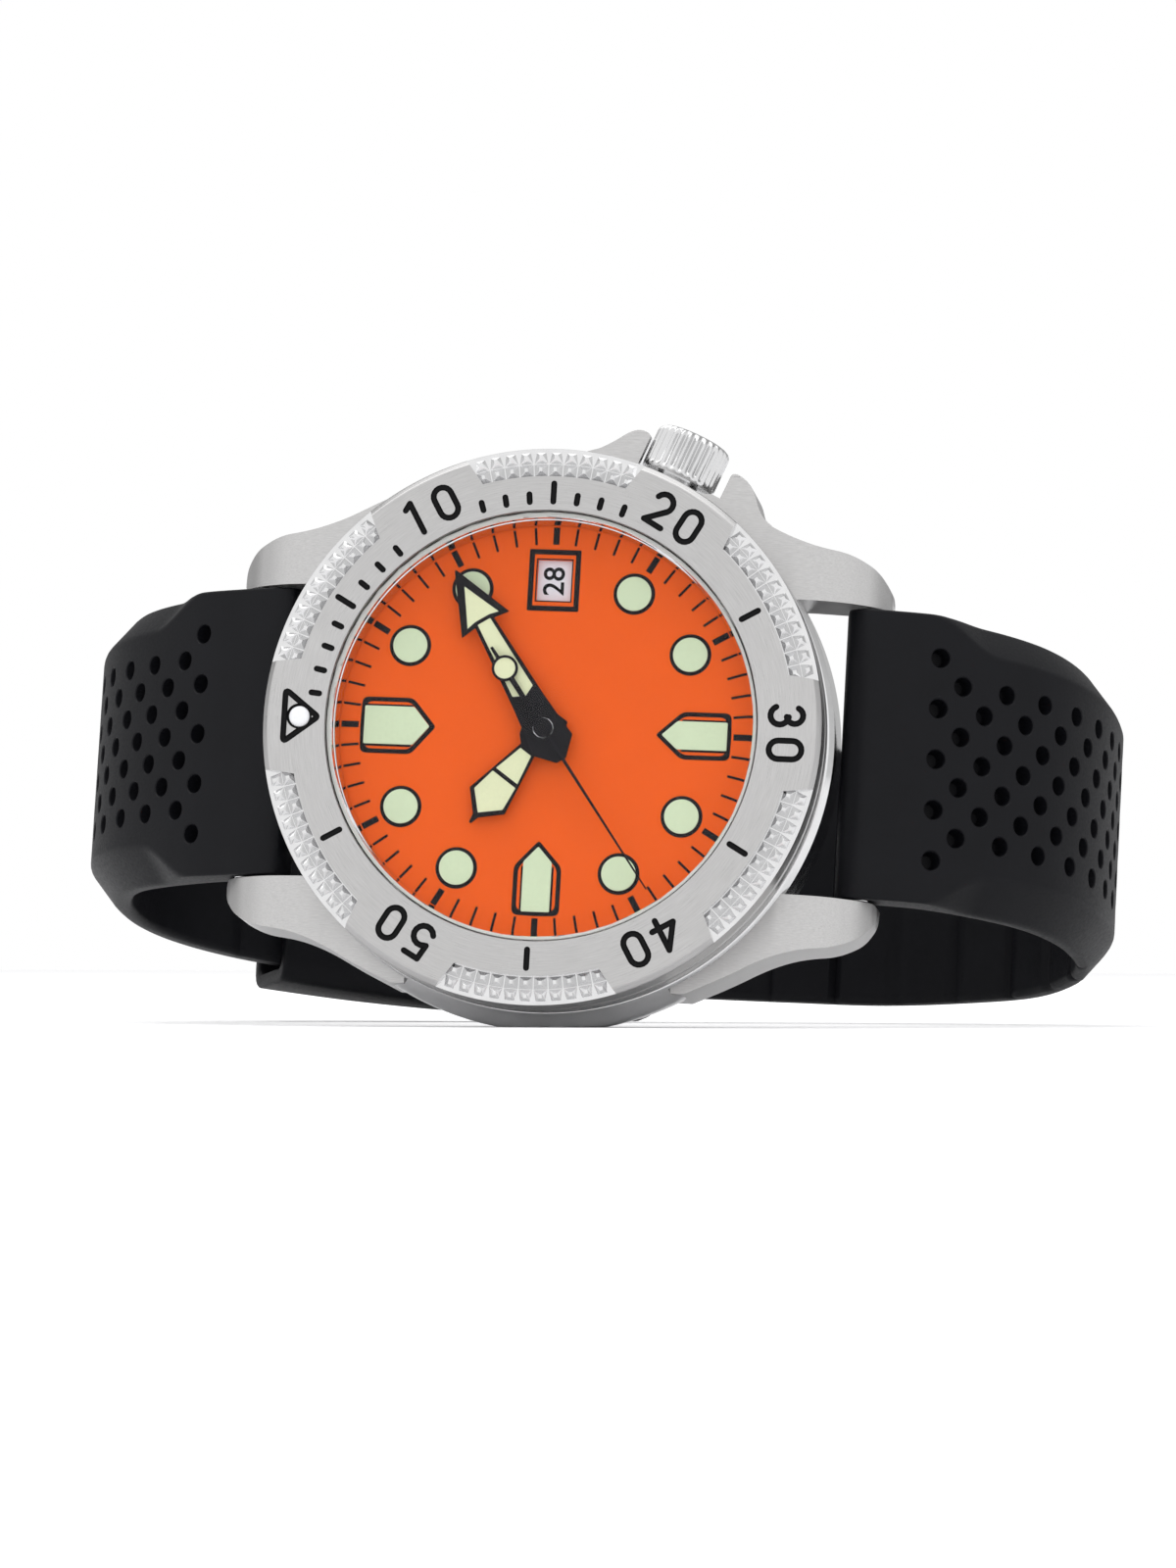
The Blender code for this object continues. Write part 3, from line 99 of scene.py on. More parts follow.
class Shader:
    """A Principled material and short calls that add nodes to it."""

    def __init__(self, name, colour, roughness, metallic=0.0):
        self.material = bpy.data.materials.new(name)
        self.material.use_nodes = True
        self.tree = self.material.node_tree
        self.main = self.tree.nodes["Principled BSDF"]
        self.set("Base Color", (*colour, 1.0))
        self.set("Roughness", roughness)
        self.set("Metallic", metallic)
        self.colour = colour
        self.coordinates = self.tree.nodes.new("ShaderNodeTexCoord").outputs["Object"]

    def set(self, socket, value):
        self.main.inputs[socket].default_value = value

    def link(self, output, target):
        self.tree.links.new(output, target)

    def math(self, operation, a, b=0.0):
        node = self.tree.nodes.new("ShaderNodeMath")
        node.operation = operation
        for socket, value in zip(node.inputs, (a, b)):
            if isinstance(value, (int, float)):
                socket.default_value = value
            else:
                self.link(value, socket)
        return node.outputs[0]

    def split(self):
        node = self.tree.nodes.new("ShaderNodeSeparateXYZ")
        self.link(self.coordinates, node.inputs[0])
        return node.outputs

    def stretched(self, x, y, z):
        """Object coordinates times three factors."""
        node = self.tree.nodes.new("ShaderNodeMapping")
        node.inputs["Scale"].default_value = (x, y, z)
        self.link(self.coordinates, node.inputs["Vector"])
        return node.outputs[0]

    def polar(self, around, along):
        """Coordinates wound round Z: angle times around, radius and height times along."""
        x, y, z = self.split()
        square = self.math("ADD", self.math("MULTIPLY", x, x), self.math("MULTIPLY", y, y))
        radius = self.math("SQRT", square)
        angle = self.math("ARCTAN2", y, x)
        node = self.tree.nodes.new("ShaderNodeCombineXYZ")
        self.link(self.math("MULTIPLY", angle, around), node.inputs[0])
        self.link(self.math("MULTIPLY", radius, along), node.inputs[1])
        self.link(self.math("MULTIPLY", z, along), node.inputs[2])
        return node.outputs[0]

    def noise(self, vector, scale, detail=3.0, roughness=0.55):
        node = self.tree.nodes.new("ShaderNodeTexNoise")
        node.inputs["Scale"].default_value = scale
        node.inputs["Detail"].default_value = detail
        node.inputs["Roughness"].default_value = roughness
        self.link(vector or self.coordinates, node.inputs["Vector"])
        return node.outputs["Fac"]

    def ramp(self, value, low, high, start=0.3, end=0.7):
        """value from start to end becomes low to high, both numbers or both colours."""
        node = self.tree.nodes.new("ShaderNodeMapRange")
        if isinstance(low, (int, float)):
            target = (low, high)
            node.inputs["From Min"].default_value = start
            node.inputs["From Max"].default_value = end
            node.inputs["To Min"].default_value, node.inputs["To Max"].default_value = target
            self.link(value, node.inputs["Value"])
            return node.outputs["Result"]
        self.tree.nodes.remove(node)
        node = self.tree.nodes.new("ShaderNodeValToRGB")
        first, last = node.color_ramp.elements
        first.position, last.position = start, end
        first.color, last.color = (*low, 1.0), (*high, 1.0)
        self.link(value, node.inputs["Fac"])
        return node.outputs["Color"]

    def bump(self, height, distance, strength=1.0):
        node = self.tree.nodes.new("ShaderNodeBump")
        node.inputs["Distance"].default_value = distance
        node.inputs["Strength"].default_value = strength
        self.link(height, node.inputs["Height"])
        self.link(node.outputs[0], self.main.inputs["Normal"])

    def drive(self, socket, output):
        self.link(output, self.main.inputs[socket])


def shade(colour, factor):
    return tuple(min(1.0, channel * factor) for channel in colour)


def steel(name, grain, base=0.5, roughness=0.3, depth=0.02, turned=False):
    """Brushed steel. grain gives the coordinates along which the brush lines run."""
    colour = (base, base * 0.99, base * 0.985)
    shader = Shader(name, colour, roughness, 1.0)
    vector = grain(shader)
    lines = shader.noise(vector, 1.0, 4.0, 0.7)
    cloud = shader.noise(None, 0.35, 2.0)
    shader.drive("Base Color", shader.ramp(lines, shade(colour, 0.86), shade(colour, 1.09)))
    blend = shader.math("ADD", shader.math("MULTIPLY", lines, 0.7), shader.math("MULTIPLY", cloud, 0.3))
    shader.drive("Roughness", shader.ramp(blend, roughness - 0.05, roughness + 0.07))
    shader.bump(lines, depth * MM, 0.6)
    if turned:
        tangent = shader.tree.nodes.new("ShaderNodeTangent")
        tangent.direction_type, tangent.axis = "RADIAL", "Z"
        shader.drive("Tangent", tangent.outputs[0])
        shader.set("Anisotropic", 0.8)
    return shader.material


def polished(name, base=0.72, roughness=0.1):
    colour = (base, base, base * 1.005)
    shader = Shader(name, colour, roughness, 1.0)
    smear = shader.noise(None, 0.8, 3.0)
    shader.drive("Roughness", shader.ramp(smear, roughness * 0.7, roughness * 1.6))
    shader.drive("Base Color", shader.ramp(smear, shade(colour, 0.95), shade(colour, 1.03)))
    return shader.material


def speckled(name, colour, roughness, scale, contrast, bump, metallic=0.0):
    """Paint, rubber or plastic with a fine grain."""
    shader = Shader(name, colour, roughness, metallic)
    grain = shader.noise(None, scale, 5.0, 0.6)
    cloud = shader.noise(None, 0.3, 2.0)
    both = shader.math("ADD", shader.math("MULTIPLY", grain, 0.6), shader.math("MULTIPLY", cloud, 0.4))
    shader.drive("Base Color", shader.ramp(both, shade(colour, 1 - contrast), shade(colour, 1 + contrast)))
    shader.drive("Roughness", shader.ramp(grain, roughness - 0.06, roughness + 0.08))
    shader.bump(grain, bump * MM, 0.5)
    return shader


def crystal_glass():
    """Clear glass that lets lamplight through to the dial."""
    shader = Shader("crystal_glass", (0.97, 0.985, 1.0), 0.0)
    smear = shader.noise(None, 0.25, 2.0)
    shader.drive("Roughness", shader.ramp(smear, 0.0, 0.02))
    shader.set("Transmission Weight", 1.0)
    shader.set("IOR", 1.16)
    tree = shader.tree
    path = tree.nodes.new("ShaderNodeLightPath")
    clear = tree.nodes.new("ShaderNodeBsdfTransparent")
    mix = tree.nodes.new("ShaderNodeMixShader")
    output = tree.nodes["Material Output"]
    tree.links.new(path.outputs["Is Shadow Ray"], mix.inputs[0])
    tree.links.new(shader.main.outputs[0], mix.inputs[1])
    tree.links.new(clear.outputs[0], mix.inputs[2])
    tree.links.new(mix.outputs[0], output.inputs["Surface"])
    return shader.material


STEEL_ROUND = steel("steel_round_brushed", lambda s: s.polar(9.0, 16.0), depth=0.008, turned=True)
STEEL_LONG = steel("steel_straight_brushed", lambda s: s.stretched(1.4, 16.0, 16.0), 0.53, 0.32, 0.006)
STEEL_MATT = steel("steel_back_brushed", lambda s: s.stretched(9.0, 0.35, 9.0), 0.6, 0.32)
STEEL_BRIGHT = polished("steel_polished")
STEEL_GRIP = polished("steel_grip", 0.7, 0.16)
STEEL_FLUTE = polished("steel_flute", 0.66, 0.16)
BLACK_FILL = speckled("black_enamel", (0.004, 0.004, 0.0045), 0.4, 6.0, 0.3, 0.004)
BLACK_PRINT = speckled("black_print", (0.007, 0.006, 0.008), 0.5, 8.0, 0.3, 0.002)
ORANGE = speckled("orange_lacquer", (0.885, 0.112, 0.006), 0.5, 9.0, 0.035, 0.002)
LUME = speckled("marker_lume", (0.665, 0.765, 0.515), 0.55, 5.0, 0.05, 0.012)
HAND_LUME = speckled("hand_lume", (0.78, 0.80, 0.51), 0.55, 5.0, 0.05, 0.012)
PIP_LUME = speckled("pip_lume", (0.82, 0.83, 0.85), 0.4, 5.0, 0.05, 0.01).material
DATE_WHITE = speckled("date_white", (0.80, 0.78, 0.82), 0.5, 7.0, 0.03, 0.002).material
for matt in (BLACK_FILL, BLACK_PRINT, ORANGE, LUME, HAND_LUME):
    matt.set("Specular IOR Level", 0.12)
BLACK_FILL, BLACK_PRINT, ORANGE = BLACK_FILL.material, BLACK_PRINT.material, ORANGE.material
LUME, HAND_LUME = LUME.material, HAND_LUME.material
RUBBER = speckled("strap_rubber", (0.0042, 0.0044, 0.006), 0.5, 4.5, 0.25, 0.012)
RUBBER.set("Specular IOR Level", 0.15)
RUBBER = RUBBER.material
SEAL = speckled("seal_rubber_black", (0.03, 0.03, 0.03), 0.6, 5.0, 0.2, 0.01).material
NYLON = speckled("nylon_ivory", (0.7, 0.69, 0.64), 0.5, 5.0, 0.05, 0.01).material
GLASS = crystal_glass()

# ---- outlines ----------------------------------------------------------------------------------


def polar(radius, degrees):
    angle = math.radians(degrees)
    return radius * math.cos(angle), radius * math.sin(angle)


def arc(radius, start, end, count, at=(0.0, 0.0)):
    """Points on a circle from start to end degrees, both included."""
    points = []
    for i in range(count + 1):
        x, y = polar(radius, start + (end - start) * i / count)
        points.append((at[0] + x, at[1] + y))
    return points


def circle(radius, at=(0.0, 0.0), count=48):
    return arc(radius, 0, 360 * (1 - 1 / count), count - 1, at)


def rectangle(x0, y0, x1, y1):
    return [(x0, y0), (x1, y0), (x1, y1), (x0, y1)]


def rounded(points, radius, count=4, closed=True):
    """The outline with each corner rounded. A point's third number overrides the radius."""
    result = []
    total = len(points)
    for i, point in enumerate(points):
        corner = Vector(point[:2])
        reach = point[2] if len(point) > 2 else radius
        if not closed and i in (0, total - 1) or reach <= 0:
            result.append(tuple(corner))
            continue
        before = Vector(points[i - 1][:2]) - corner
        after = Vector(points[(i + 1) % total][:2]) - corner
        cut = min(reach, before.length * 0.48, after.length * 0.48)
        start = corner + before.normalized() * cut
        end = corner + after.normalized() * cut
        for k in range(count + 1):
            t = k / count
            result.append(tuple(start * (1 - t) ** 2 + corner * 2 * t * (1 - t) + end * t * t))
    return result


def moved(points, x=0.0, y=0.0, degrees=0.0):
    """The outline turned about the origin and then shifted."""
    c, s = math.cos(math.radians(degrees)), math.sin(math.radians(degrees))
    return [(x + px * c - py * s, y + px * s + py * c) for px, py in points]


def mirrored(points, x_sign, y_sign):
    return [(p[0] * x_sign, p[1] * y_sign, *p[2:]) for p in points]


def dial_point(radius, clockwise, side=0.0):
    """A point at a distance from the centre, an angle clockwise from 12, and a step clockwise."""
    angle = math.radians(clockwise)
    x = -radius * math.cos(angle) + side * math.sin(angle)
    y = radius * math.sin(angle) + side * math.cos(angle)
    return x, y


def on_dial(points, clockwise):
    """An outline drawn as (outward, clockwise) placed at an angle clockwise from 12."""
    return [dial_point(p[0], clockwise, p[1]) for p in points]


# ---- meshes -----------------------------------------------------------------------------------


def finished(shell, name, *materials):
    """A mesh from a bmesh, its normals outward."""
    bmesh.ops.recalc_face_normals(shell, faces=shell.faces)
    mesh = bpy.data.meshes.new(name)
    shell.to_mesh(mesh)
    shell.free()
    for material in materials:
        mesh.materials.append(material)
    return mesh


def lathe(name, profile, *materials, steps=TURN_STEPS):
    """A turned solid. The profile is a closed ring, or starts and ends on the axis."""
    shell = bmesh.new()
    columns = []
    for radius, height in [p[:2] for p in profile]:
        if radius < 1e-6:
            columns.append([shell.verts.new((0, 0, height))] * steps)
            continue
        angles = [math.tau * i / steps for i in range(steps)]
        ring = [(radius * math.cos(a), radius * math.sin(a), height) for a in angles]
        columns.append([shell.verts.new(point) for point in ring])
    ring = profile[0][0] > 1e-6
    rows = list(zip(columns, columns[1:] + columns[:1])) if ring else list(zip(columns, columns[1:]))
    for upper, lower in rows:
        for i in range(steps):
            j = (i + 1) % steps
            corners = []
            for vertex in (upper[i], upper[j], lower[j], lower[i]):
                if vertex not in corners:
                    corners.append(vertex)
            if len(corners) > 2:
                shell.faces.new(corners)
    return finished(shell, name, *materials)


def slab(name, loops, low, high, *materials):
    """Flat outlines, the first with the others as holes or islands, as a solid."""
    curve = bpy.data.curves.new(name, "CURVE")
    curve.dimensions = "2D"
    curve.fill_mode = "BOTH"
    curve.extrude = (high - low) / 2
    for loop in loops:
        spline = curve.splines.new("POLY")
        spline.points.add(len(loop) - 1)
        for point, place in zip(spline.points, loop):
            point.co = (place[0], place[1], 0, 1)
        spline.use_cyclic_u = True
    holder = bpy.data.objects.new(name, curve)
    bpy.context.scene.collection.objects.link(holder)
    depsgraph = bpy.context.evaluated_depsgraph_get()
    source = bpy.data.meshes.new_from_object(holder.evaluated_get(depsgraph))
    bpy.data.objects.remove(holder)
    bpy.data.curves.remove(curve)
    shell = bmesh.new()
    shell.from_mesh(source)
    bpy.data.meshes.remove(source)
    bmesh.ops.remove_doubles(shell, verts=shell.verts, dist=1e-5)
    bmesh.ops.translate(shell, verts=shell.verts, vec=(0, 0, (high + low) / 2))
    return finished(shell, name, *materials)


def loft(name, sections, *materials, hollow=None, round_trip=False):
    """A solid through closed sections of equal length, or a sleeve with a hollow."""
    shell = bmesh.new()

    def skin(rings):
        rows = [[shell.verts.new(point) for point in ring] for ring in rings]
        following = rows[1:] + rows[:1] if round_trip else rows[1:]
        for near, far in zip(rows, following):
            for i in range(len(near)):
                j = (i + 1) % len(near)
                shell.faces.new([near[i], near[j], far[j], far[i]])
        return rows

    outside = skin(sections)
    if hollow:
        inside = skin(hollow)
        for end in (0, -1):
            for i in range(len(outside[end])):
                j = (i + 1) % len(outside[end])
                shell.faces.new([outside[end][i], outside[end][j], inside[end][j], inside[end][i]])
    elif not round_trip:
        shell.faces.new(outside[0])
        shell.faces.new(outside[-1])
    return finished(shell, name, *materials)


def joined(name, meshes, *materials):
    """One mesh from several, keeping each one's material by its order in materials."""
    shell = bmesh.new()
    for mesh in meshes:
        start = len(shell.faces)
        shell.from_mesh(mesh)
        shell.faces.ensure_lookup_table()
        index = materials.index(mesh.materials[0]) if mesh.materials else 0
        for face in shell.faces[start:]:
            face.material_index = index
        bpy.data.meshes.remove(mesh)
    result = bpy.data.meshes.new(name)
    shell.to_mesh(result)
    shell.free()
    for material in materials:
        result.materials.append(material)
    return result


def groove(paths, radius, height, material, sides=12):
    """Round-ended tubes along flat paths: what an engraving cutter sweeps."""
    pieces = []
    for path, closed in paths:
        line = [Vector((x, y, height)) for x, y in path]
        rings = []
        count = len(line)
        for i, point in enumerate(line):
            before = line[i - 1] if closed or i else point
            after = line[(i + 1) % count] if closed or i < count - 1 else point
            along = (after - before).normalized()
            side = Vector((-along.y, along.x, 0))
            turn = 1.0
            if before != point and after != point:
                turn = 1 / max(0.5, (point - before).normalized().dot(along))
            rings.append((point, side, turn))
        sections = []
        if not closed:
            start, end = (line[0] - line[1]).normalized(), (line[-1] - line[-2]).normalized()
            for lift in (0.98, 0.8, 0.45):
                swell = math.sqrt(1 - lift * lift)
                sections.append((rings[0][0] + start * radius * lift, rings[0][1], swell, swell))
        sections += [(point, side, turn, 1.0) for point, side, turn in rings]
        if not closed:
            for lift in (0.45, 0.8, 0.98):
                swell = math.sqrt(1 - lift * lift)
                sections.append((rings[-1][0] + end * radius * lift, rings[-1][1], swell, swell))
        loops = []
        for point, side, wide, tall in sections:
            loop = []
            for k in range(sides):
                angle = math.tau * (k + 0.5) / sides
                across = side * (math.cos(angle) * radius * wide)
                loop.append(point + across + Vector((0, 0, math.sin(angle) * radius * tall)))
            loops.append(loop)
        pieces.append(loft("groove", loops, material, round_trip=closed))
    return joined("groove", pieces, material)


def hidden(name, mesh, matrix=WATCH):
    """A helper object for a boolean, placed in the watch's axes."""
    helper = bpy.data.objects.new(name, mesh)
    helper.matrix_world = matrix
    bpy.context.scene.collection.objects.link(helper)
    return helper


def bake(target):
    """Applies the object's modifiers to its mesh."""
    bpy.context.view_layer.update()
    depsgraph = bpy.context.evaluated_depsgraph_get()
    mesh = bpy.data.meshes.new_from_object(target.evaluated_get(depsgraph))
    target.modifiers.clear()
    target.data = mesh
    return target


def combine(target, operation, *others, crossing=False):
    """A boolean with helpers, which are then removed. Their materials come along."""
    for other in others:
        step = target.modifiers.new("combine", "BOOLEAN")
        step.operation = operation
        step.solver = "EXACT"
        step.use_self = crossing
        step.material_mode = "TRANSFER"
        step.object = other
    bake(target)
    for other in others:
        bpy.data.objects.remove(other)
    return target


def soften(target, width, segments=3, angle=32, material=-1):
    """Rounds the sharp edges."""
    edge = target.modifiers.new("soften", "BEVEL")
    edge.width = width
    edge.segments = segments
    edge.limit_method = "ANGLE"
    edge.angle_limit = math.radians(angle)
    edge.material = material
    edge.harden_normals = False
    return bake(target)


def show(piece, body, slot, *replaced, sharp=32):
    """Shades a finished piece, fixes it to its body and hides the frame's nodes it stands for."""
    piece.data.shade_smooth()
    piece.data.set_sharp_from_angle(angle=math.radians(sharp))
    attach(piece, body)
    if replaced:
        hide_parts(*replaced)
    return piece


def weighted(piece):
    """Keeps flat faces flat beside narrow bevels."""
    normals = piece.modifiers.new("normals", "WEIGHTED_NORMAL")
    normals.keep_sharp = True


def piece(name, mesh, body, slot, *replaced, matrix=WATCH, sharp=32):
    return show(hidden(name, mesh, matrix), body, slot, *replaced, sharp=sharp)


# ---- bezel --------------------------------------------------------------------------------------

DIGIT_HALF_WIDTH = 0.62
DIGIT_HALF_HEIGHT = 1.09
DIGIT_RADIUS = 16.45  # from the centre to the middle of a numeral
DIGIT_STEP = 1.13  # half the distance between two digits
STROKE = 0.21
TICKS = [1, 2, 3, 4, 6, 7, 8, 12, 13, 14, 16, 17, 18]
LONG_TICKS = [5, 15, 25, 35, 45, 55]


def digit_strokes(digit):
    """Centre lines of a monoline digit, as (points, closed) with Y up."""
    w, h = DIGIT_HALF_WIDTH, DIGIT_HALF_HEIGHT
    if digit == "0":
        loop = arc(w, 0, 180, 10, (0, h - w)) + arc(w, 180, 360, 10, (0, w - h))
        return [(loop, True)]
    if digit == "1":
        return [([(-0.38, 0.8), (0.08, h)], False), ([(0.08, h), (0.08, -h)], False)]
    if digit == "2":
        bowl = arc(w, 160, -38, 10, (0, h - w)) + [(-w, -h)]
        return [(bowl, False), ([(-w, -h), (w + 0.08, -h)], False)]
    if digit == "3":
        upper = arc(0.55, 155, -80, 12, (-0.05, h - 0.55))
        lower = arc(0.62, 80, -155, 12, (-0.05, 0.62 - h))
        return [(upper, False), (lower, False)]
    if digit == "4":
        slope = [(0.3, h), (-w - 0.14, -0.5)]
        across = [(-w - 0.14, -0.5), (w + 0.16, -0.5)]
        return [(slope, False), (across, False), ([(0.3, h), (0.3, -h)], False)]
    bowl_line = arc(0.66, 128, -150, 12, (-0.04, 0.66 - h))
    top = [(w - 0.08, h), (-w + 0.1, h)]
    return [(top, False), ([(-w + 0.1, h), (-w + 0.06, 0.06)], False), (bowl_line, False)]


def bezel_engraving():
    """The strokes of the ticks, the numerals and the triangle."""
    strokes = []
    for minute in TICKS + LONG_TICKS:
        outer = 16.34 if minute in LONG_TICKS else 15.64
        strokes.append(([dial_point(15.12, 6 * minute), dial_point(outer, 6 * minute)], False))
    for minute in (10, 20, 30, 40, 50):
        for place, digit in enumerate(str(minute)):
            offset = DIGIT_STEP * (2 * place - 1)
            for points, closed in digit_strokes(digit):
                line = [dial_point(DIGIT_RADIUS + y, 6 * minute, offset + x) for x, y in points]
                strokes.append((line, closed))
    triangle = rounded([(-15.02, 0.0, 0.22), (-17.3, 1.78, 0.36), (-17.3, -1.78, 0.36)], 0.3, 5)
    strokes.append((triangle, True))
    return strokes


def grip_pocket(degrees):
    outside = arc(BEZEL_RADIUS + 0.4, GRIP_RIM_HALF + 0.6, -GRIP_RIM_HALF - 0.6, 25)
    inside = arc(GRIP_INNER, -GRIP_HALF, GRIP_HALF, 25)
    mesh = slab("pocket", [outside + inside], BEZEL_TOP - GRIP_DEPTH, BEZEL_TOP + 1.0, STEEL_GRIP)
    helper = hidden("pocket", mesh)
    helper.matrix_world = WATCH @ Matrix.Rotation(math.radians(degrees), 4, "Z")
    return helper


def grip_pyramids():
    """Two rows of eleven blunt pyramids in each sunk sector."""
    shell = bmesh.new()
    columns = 11
    rows = ((GRIP_INNER + 0.05, 17.74), (17.74, 18.68))
    pitch = 2 * GRIP_RIM_HALF * 0.955 / columns
    floor = BEZEL_TOP - GRIP_DEPTH
    for sector in range(6):
        for row, (near, far) in enumerate(rows):
            for column in range(columns):
                middle = 30 + 60 * sector + (column - (columns - 1) / 2) * pitch
                crest = BEZEL_TOP - 0.03 - 0.12 * row
                half = pitch * 0.485
                centre = (near + far) / 2
                foot = [polar(near, middle - half), polar(far, middle - half)]
                foot += [polar(far, middle + half), polar(near, middle + half)]
                blunt = 0.13
                narrow = half * 0.22
                top = [polar(centre - blunt, middle - narrow), polar(centre + blunt, middle - narrow)]
                top += [polar(centre + blunt, middle + narrow), polar(centre - blunt, middle + narrow)]
                drops = (0.0, 0.2 * row, 0.2 * row, 0.0)
                low = [shell.verts.new((x, y, floor - 0.02 - drop)) for (x, y), drop in zip(foot, drops)]
                high = [shell.verts.new((x, y, crest)) for x, y in top]
                shell.faces.new(low)
                shell.faces.new(high)
                for i in range(4):
                    j = (i + 1) % 4
                    shell.faces.new([low[i], low[j], high[j], high[i]])
    return finished(shell, "bezel_grips", STEEL_GRIP)


def make_bezel():
    profile = [
        (BEZEL_INNER, BEZEL_TOP, 0.14),
        (18.42, BEZEL_TOP, 0.1),
        (BEZEL_RADIUS, 2.35, 0.12),
        (BEZEL_RADIUS, 0.35, 0.1),
        (18.62, 0.2, 0.08),
        (18.62, -0.1, 0.08),
        (BEZEL_RADIUS, -0.25, 0.1),
        (BEZEL_RADIUS, -1.4, 0.2),
        (18.5, -2.2, 0.15),
        (15.75, -2.2, 0.1),
        (15.75, 2.28, 0.1),
        (BEZEL_INNER, 2.28, 0.1),
    ]
    bezel = hidden("bezel_ring", lathe("bezel_ring", rounded(profile, 0.1, 3), STEEL_ROUND, steps=360))
    combine(bezel, "DIFFERENCE", *[grip_pocket(30 + 60 * i) for i in range(6)])
    engraving = groove(bezel_engraving(), STROKE, BEZEL_TOP + 0.03, BLACK_FILL)
    combine(bezel, "DIFFERENCE", hidden("engraving", engraving), crossing=True)
    seat = lathe("seat", [(0, 3.5), (0.86, 3.5), (0.86, 2.5), (0, 2.5)], BLACK_FILL, steps=40)
    combine(bezel, "DIFFERENCE", hidden("seat", seat, WATCH @ Matrix.Translation((-16.3, 0, 0))))
    weighted(show(bezel, "bezel", "satin_steel", "bezel"))
    piece("bezel_grips", grip_pyramids(), "bezel", "satin_steel", sharp=10)
    dome = rounded([(0, 2.86), (0.5, 2.84), (0.7, 2.7), (0.7, 2.45), (0, 2.45)], 0.12, 4, closed=False)
    pip = lathe("bezel_lume_pip", dome, PIP_LUME, steps=40)
    at = WATCH @ Matrix.Translation((-16.3, 0, 0))
    piece("bezel_lume_pip", pip, "bezel", "lume", "bezel_pip", matrix=at)


# ---- crystal and rehaut --------------------------------------------------------------------------


def make_crystal():
    glass = rounded(
        [(0, CRYSTAL_TOP), (14.05, CRYSTAL_TOP, 0.05), (14.42, CRYSTAL_TOP - 0.3, 0.05), (14.42, 2.25, 0.05),
         (CRYSTAL_RADIUS, 2.2, 0.03), (CRYSTAL_RADIUS, 1.65, 0.08), (0, 1.65)], 0.05, 3, closed=False)
    piece("crystal_glass", lathe("crystal_glass", glass, GLASS), "case", "crystal", "crystal")
    ring = [(14.0, 1.6, 0.1), (14.4, 1.6, 0.05), (14.4, 0.06, 0.03), (13.87, 0.06, 0.05), (13.87, 0.5, 0.1)]
    rehaut = lathe("rehaut", rounded(ring, 0.05, 3), STEEL_BRIGHT)
    piece("rehaut", rehaut, "case", "polished_steel", "rehaut_ring")


# ---- dial ----------------------------------------------------------------------------------------

PRINT = 0.02  # how far print stands off the dial
DATE_HALF, DATE_NEAR, DATE_FAR = 1.16, 8.8, 11.58


def shield(near, far, half, shoulder, inset=0.0):
    """A marker with its point towards the centre, drawn as (outward, clockwise)."""
    slant = half / (shoulder - near) if shoulder > near else 1.0
    tip = near + inset * math.sqrt(1 + 1 / slant**2)
    side = half - inset
    bend = tip + side / slant
    return rounded(
        [(tip, 0, 0.2), (bend, side, 0.35), (far - inset, side, 0.45), (far - inset + 0.06, 0, 0.5),
         (far - inset, -side, 0.45), (bend, -side, 0.35)], 0.2, 4)


def bar(near, far, half):
    return [(near, -half), (far, -half), (far, half), (near, half)]


MARKERS = (  # angle, near, far, half width, shoulder, half width of the lume
    (0, 7.4, 12.45, 1.9, 9.0, 1.28),
    (180, 7.4, 12.42, 1.6, 9.15, 0.95),
    (270, 7.4, 12.42, 1.6, 9.15, 0.95),
)


def make_dial():
    window = rectangle(-DATE_HALF, DATE_NEAR, DATE_HALF, DATE_FAR)
    plate = slab("dial_plate", [circle(DIAL_RADIUS, count=180), circle(1.3), window], -0.4, 0.0, ORANGE)
    piece("dial_plate", plate, "case", "orange_dial", "dial")
    prints = []
    for minute in range(60):
        thick = 0.21 if minute % 5 == 0 else 0.085
        tick = on_dial(bar(12.62, 13.78, thick), 6 * minute)
        prints.append(slab("tick", [tick], -0.01, PRINT, BLACK_PRINT))
    for hour in (1, 2, 4, 5, 7, 8, 10, 11):
        at = dial_point(10.9, 30 * hour)
        prints.append(slab("ring", [circle(1.4, at), circle(1.1, at)], -0.01, PRINT, BLACK_PRINT))
    for clockwise, near, far, half, shoulder, lume in MARKERS:
        outer = on_dial(shield(near, far, half, shoulder), clockwise)
        inner = on_dial(shield(near, far, half, shoulder, 0.3), clockwise)
        prints.append(slab("frame", [outer, inner], -0.01, PRINT, BLACK_PRINT))
        for sign in (1, -1):
            stripe = [(shoulder + 0.05, sign * lume), (far - 0.2, sign * lume)]
            stripe += [(far - 0.2, sign * (lume + 0.14)), (shoulder - 0.05, sign * (lume + 0.14))]
            prints.append(slab("stripe", [on_dial(stripe, clockwise)], -0.01, PRINT, BLACK_PRINT))
    border = rounded(rectangle(-1.74, 8.1, 1.74, 12.28), 0.08, 2)
    prints.append(slab("border", [border, rectangle(-1.39, 8.45, 1.39, 11.93)], -0.01, PRINT, BLACK_PRINT))
    edge = rectangle(-DATE_HALF - 0.08, DATE_NEAR - 0.08, DATE_HALF + 0.08, DATE_FAR + 0.08)
    prints.append(slab("edge", [edge, window], -0.01, PRINT, BLACK_PRINT))
    piece("dial_print", joined("dial_print", prints, BLACK_PRINT), "case", "black_steel")

    plots = hidden("dial_lume", joined("dial_lume", lume_plots(), LUME))
    soften(plots, 0.06, 3)
    show(plots, "case", "lume")


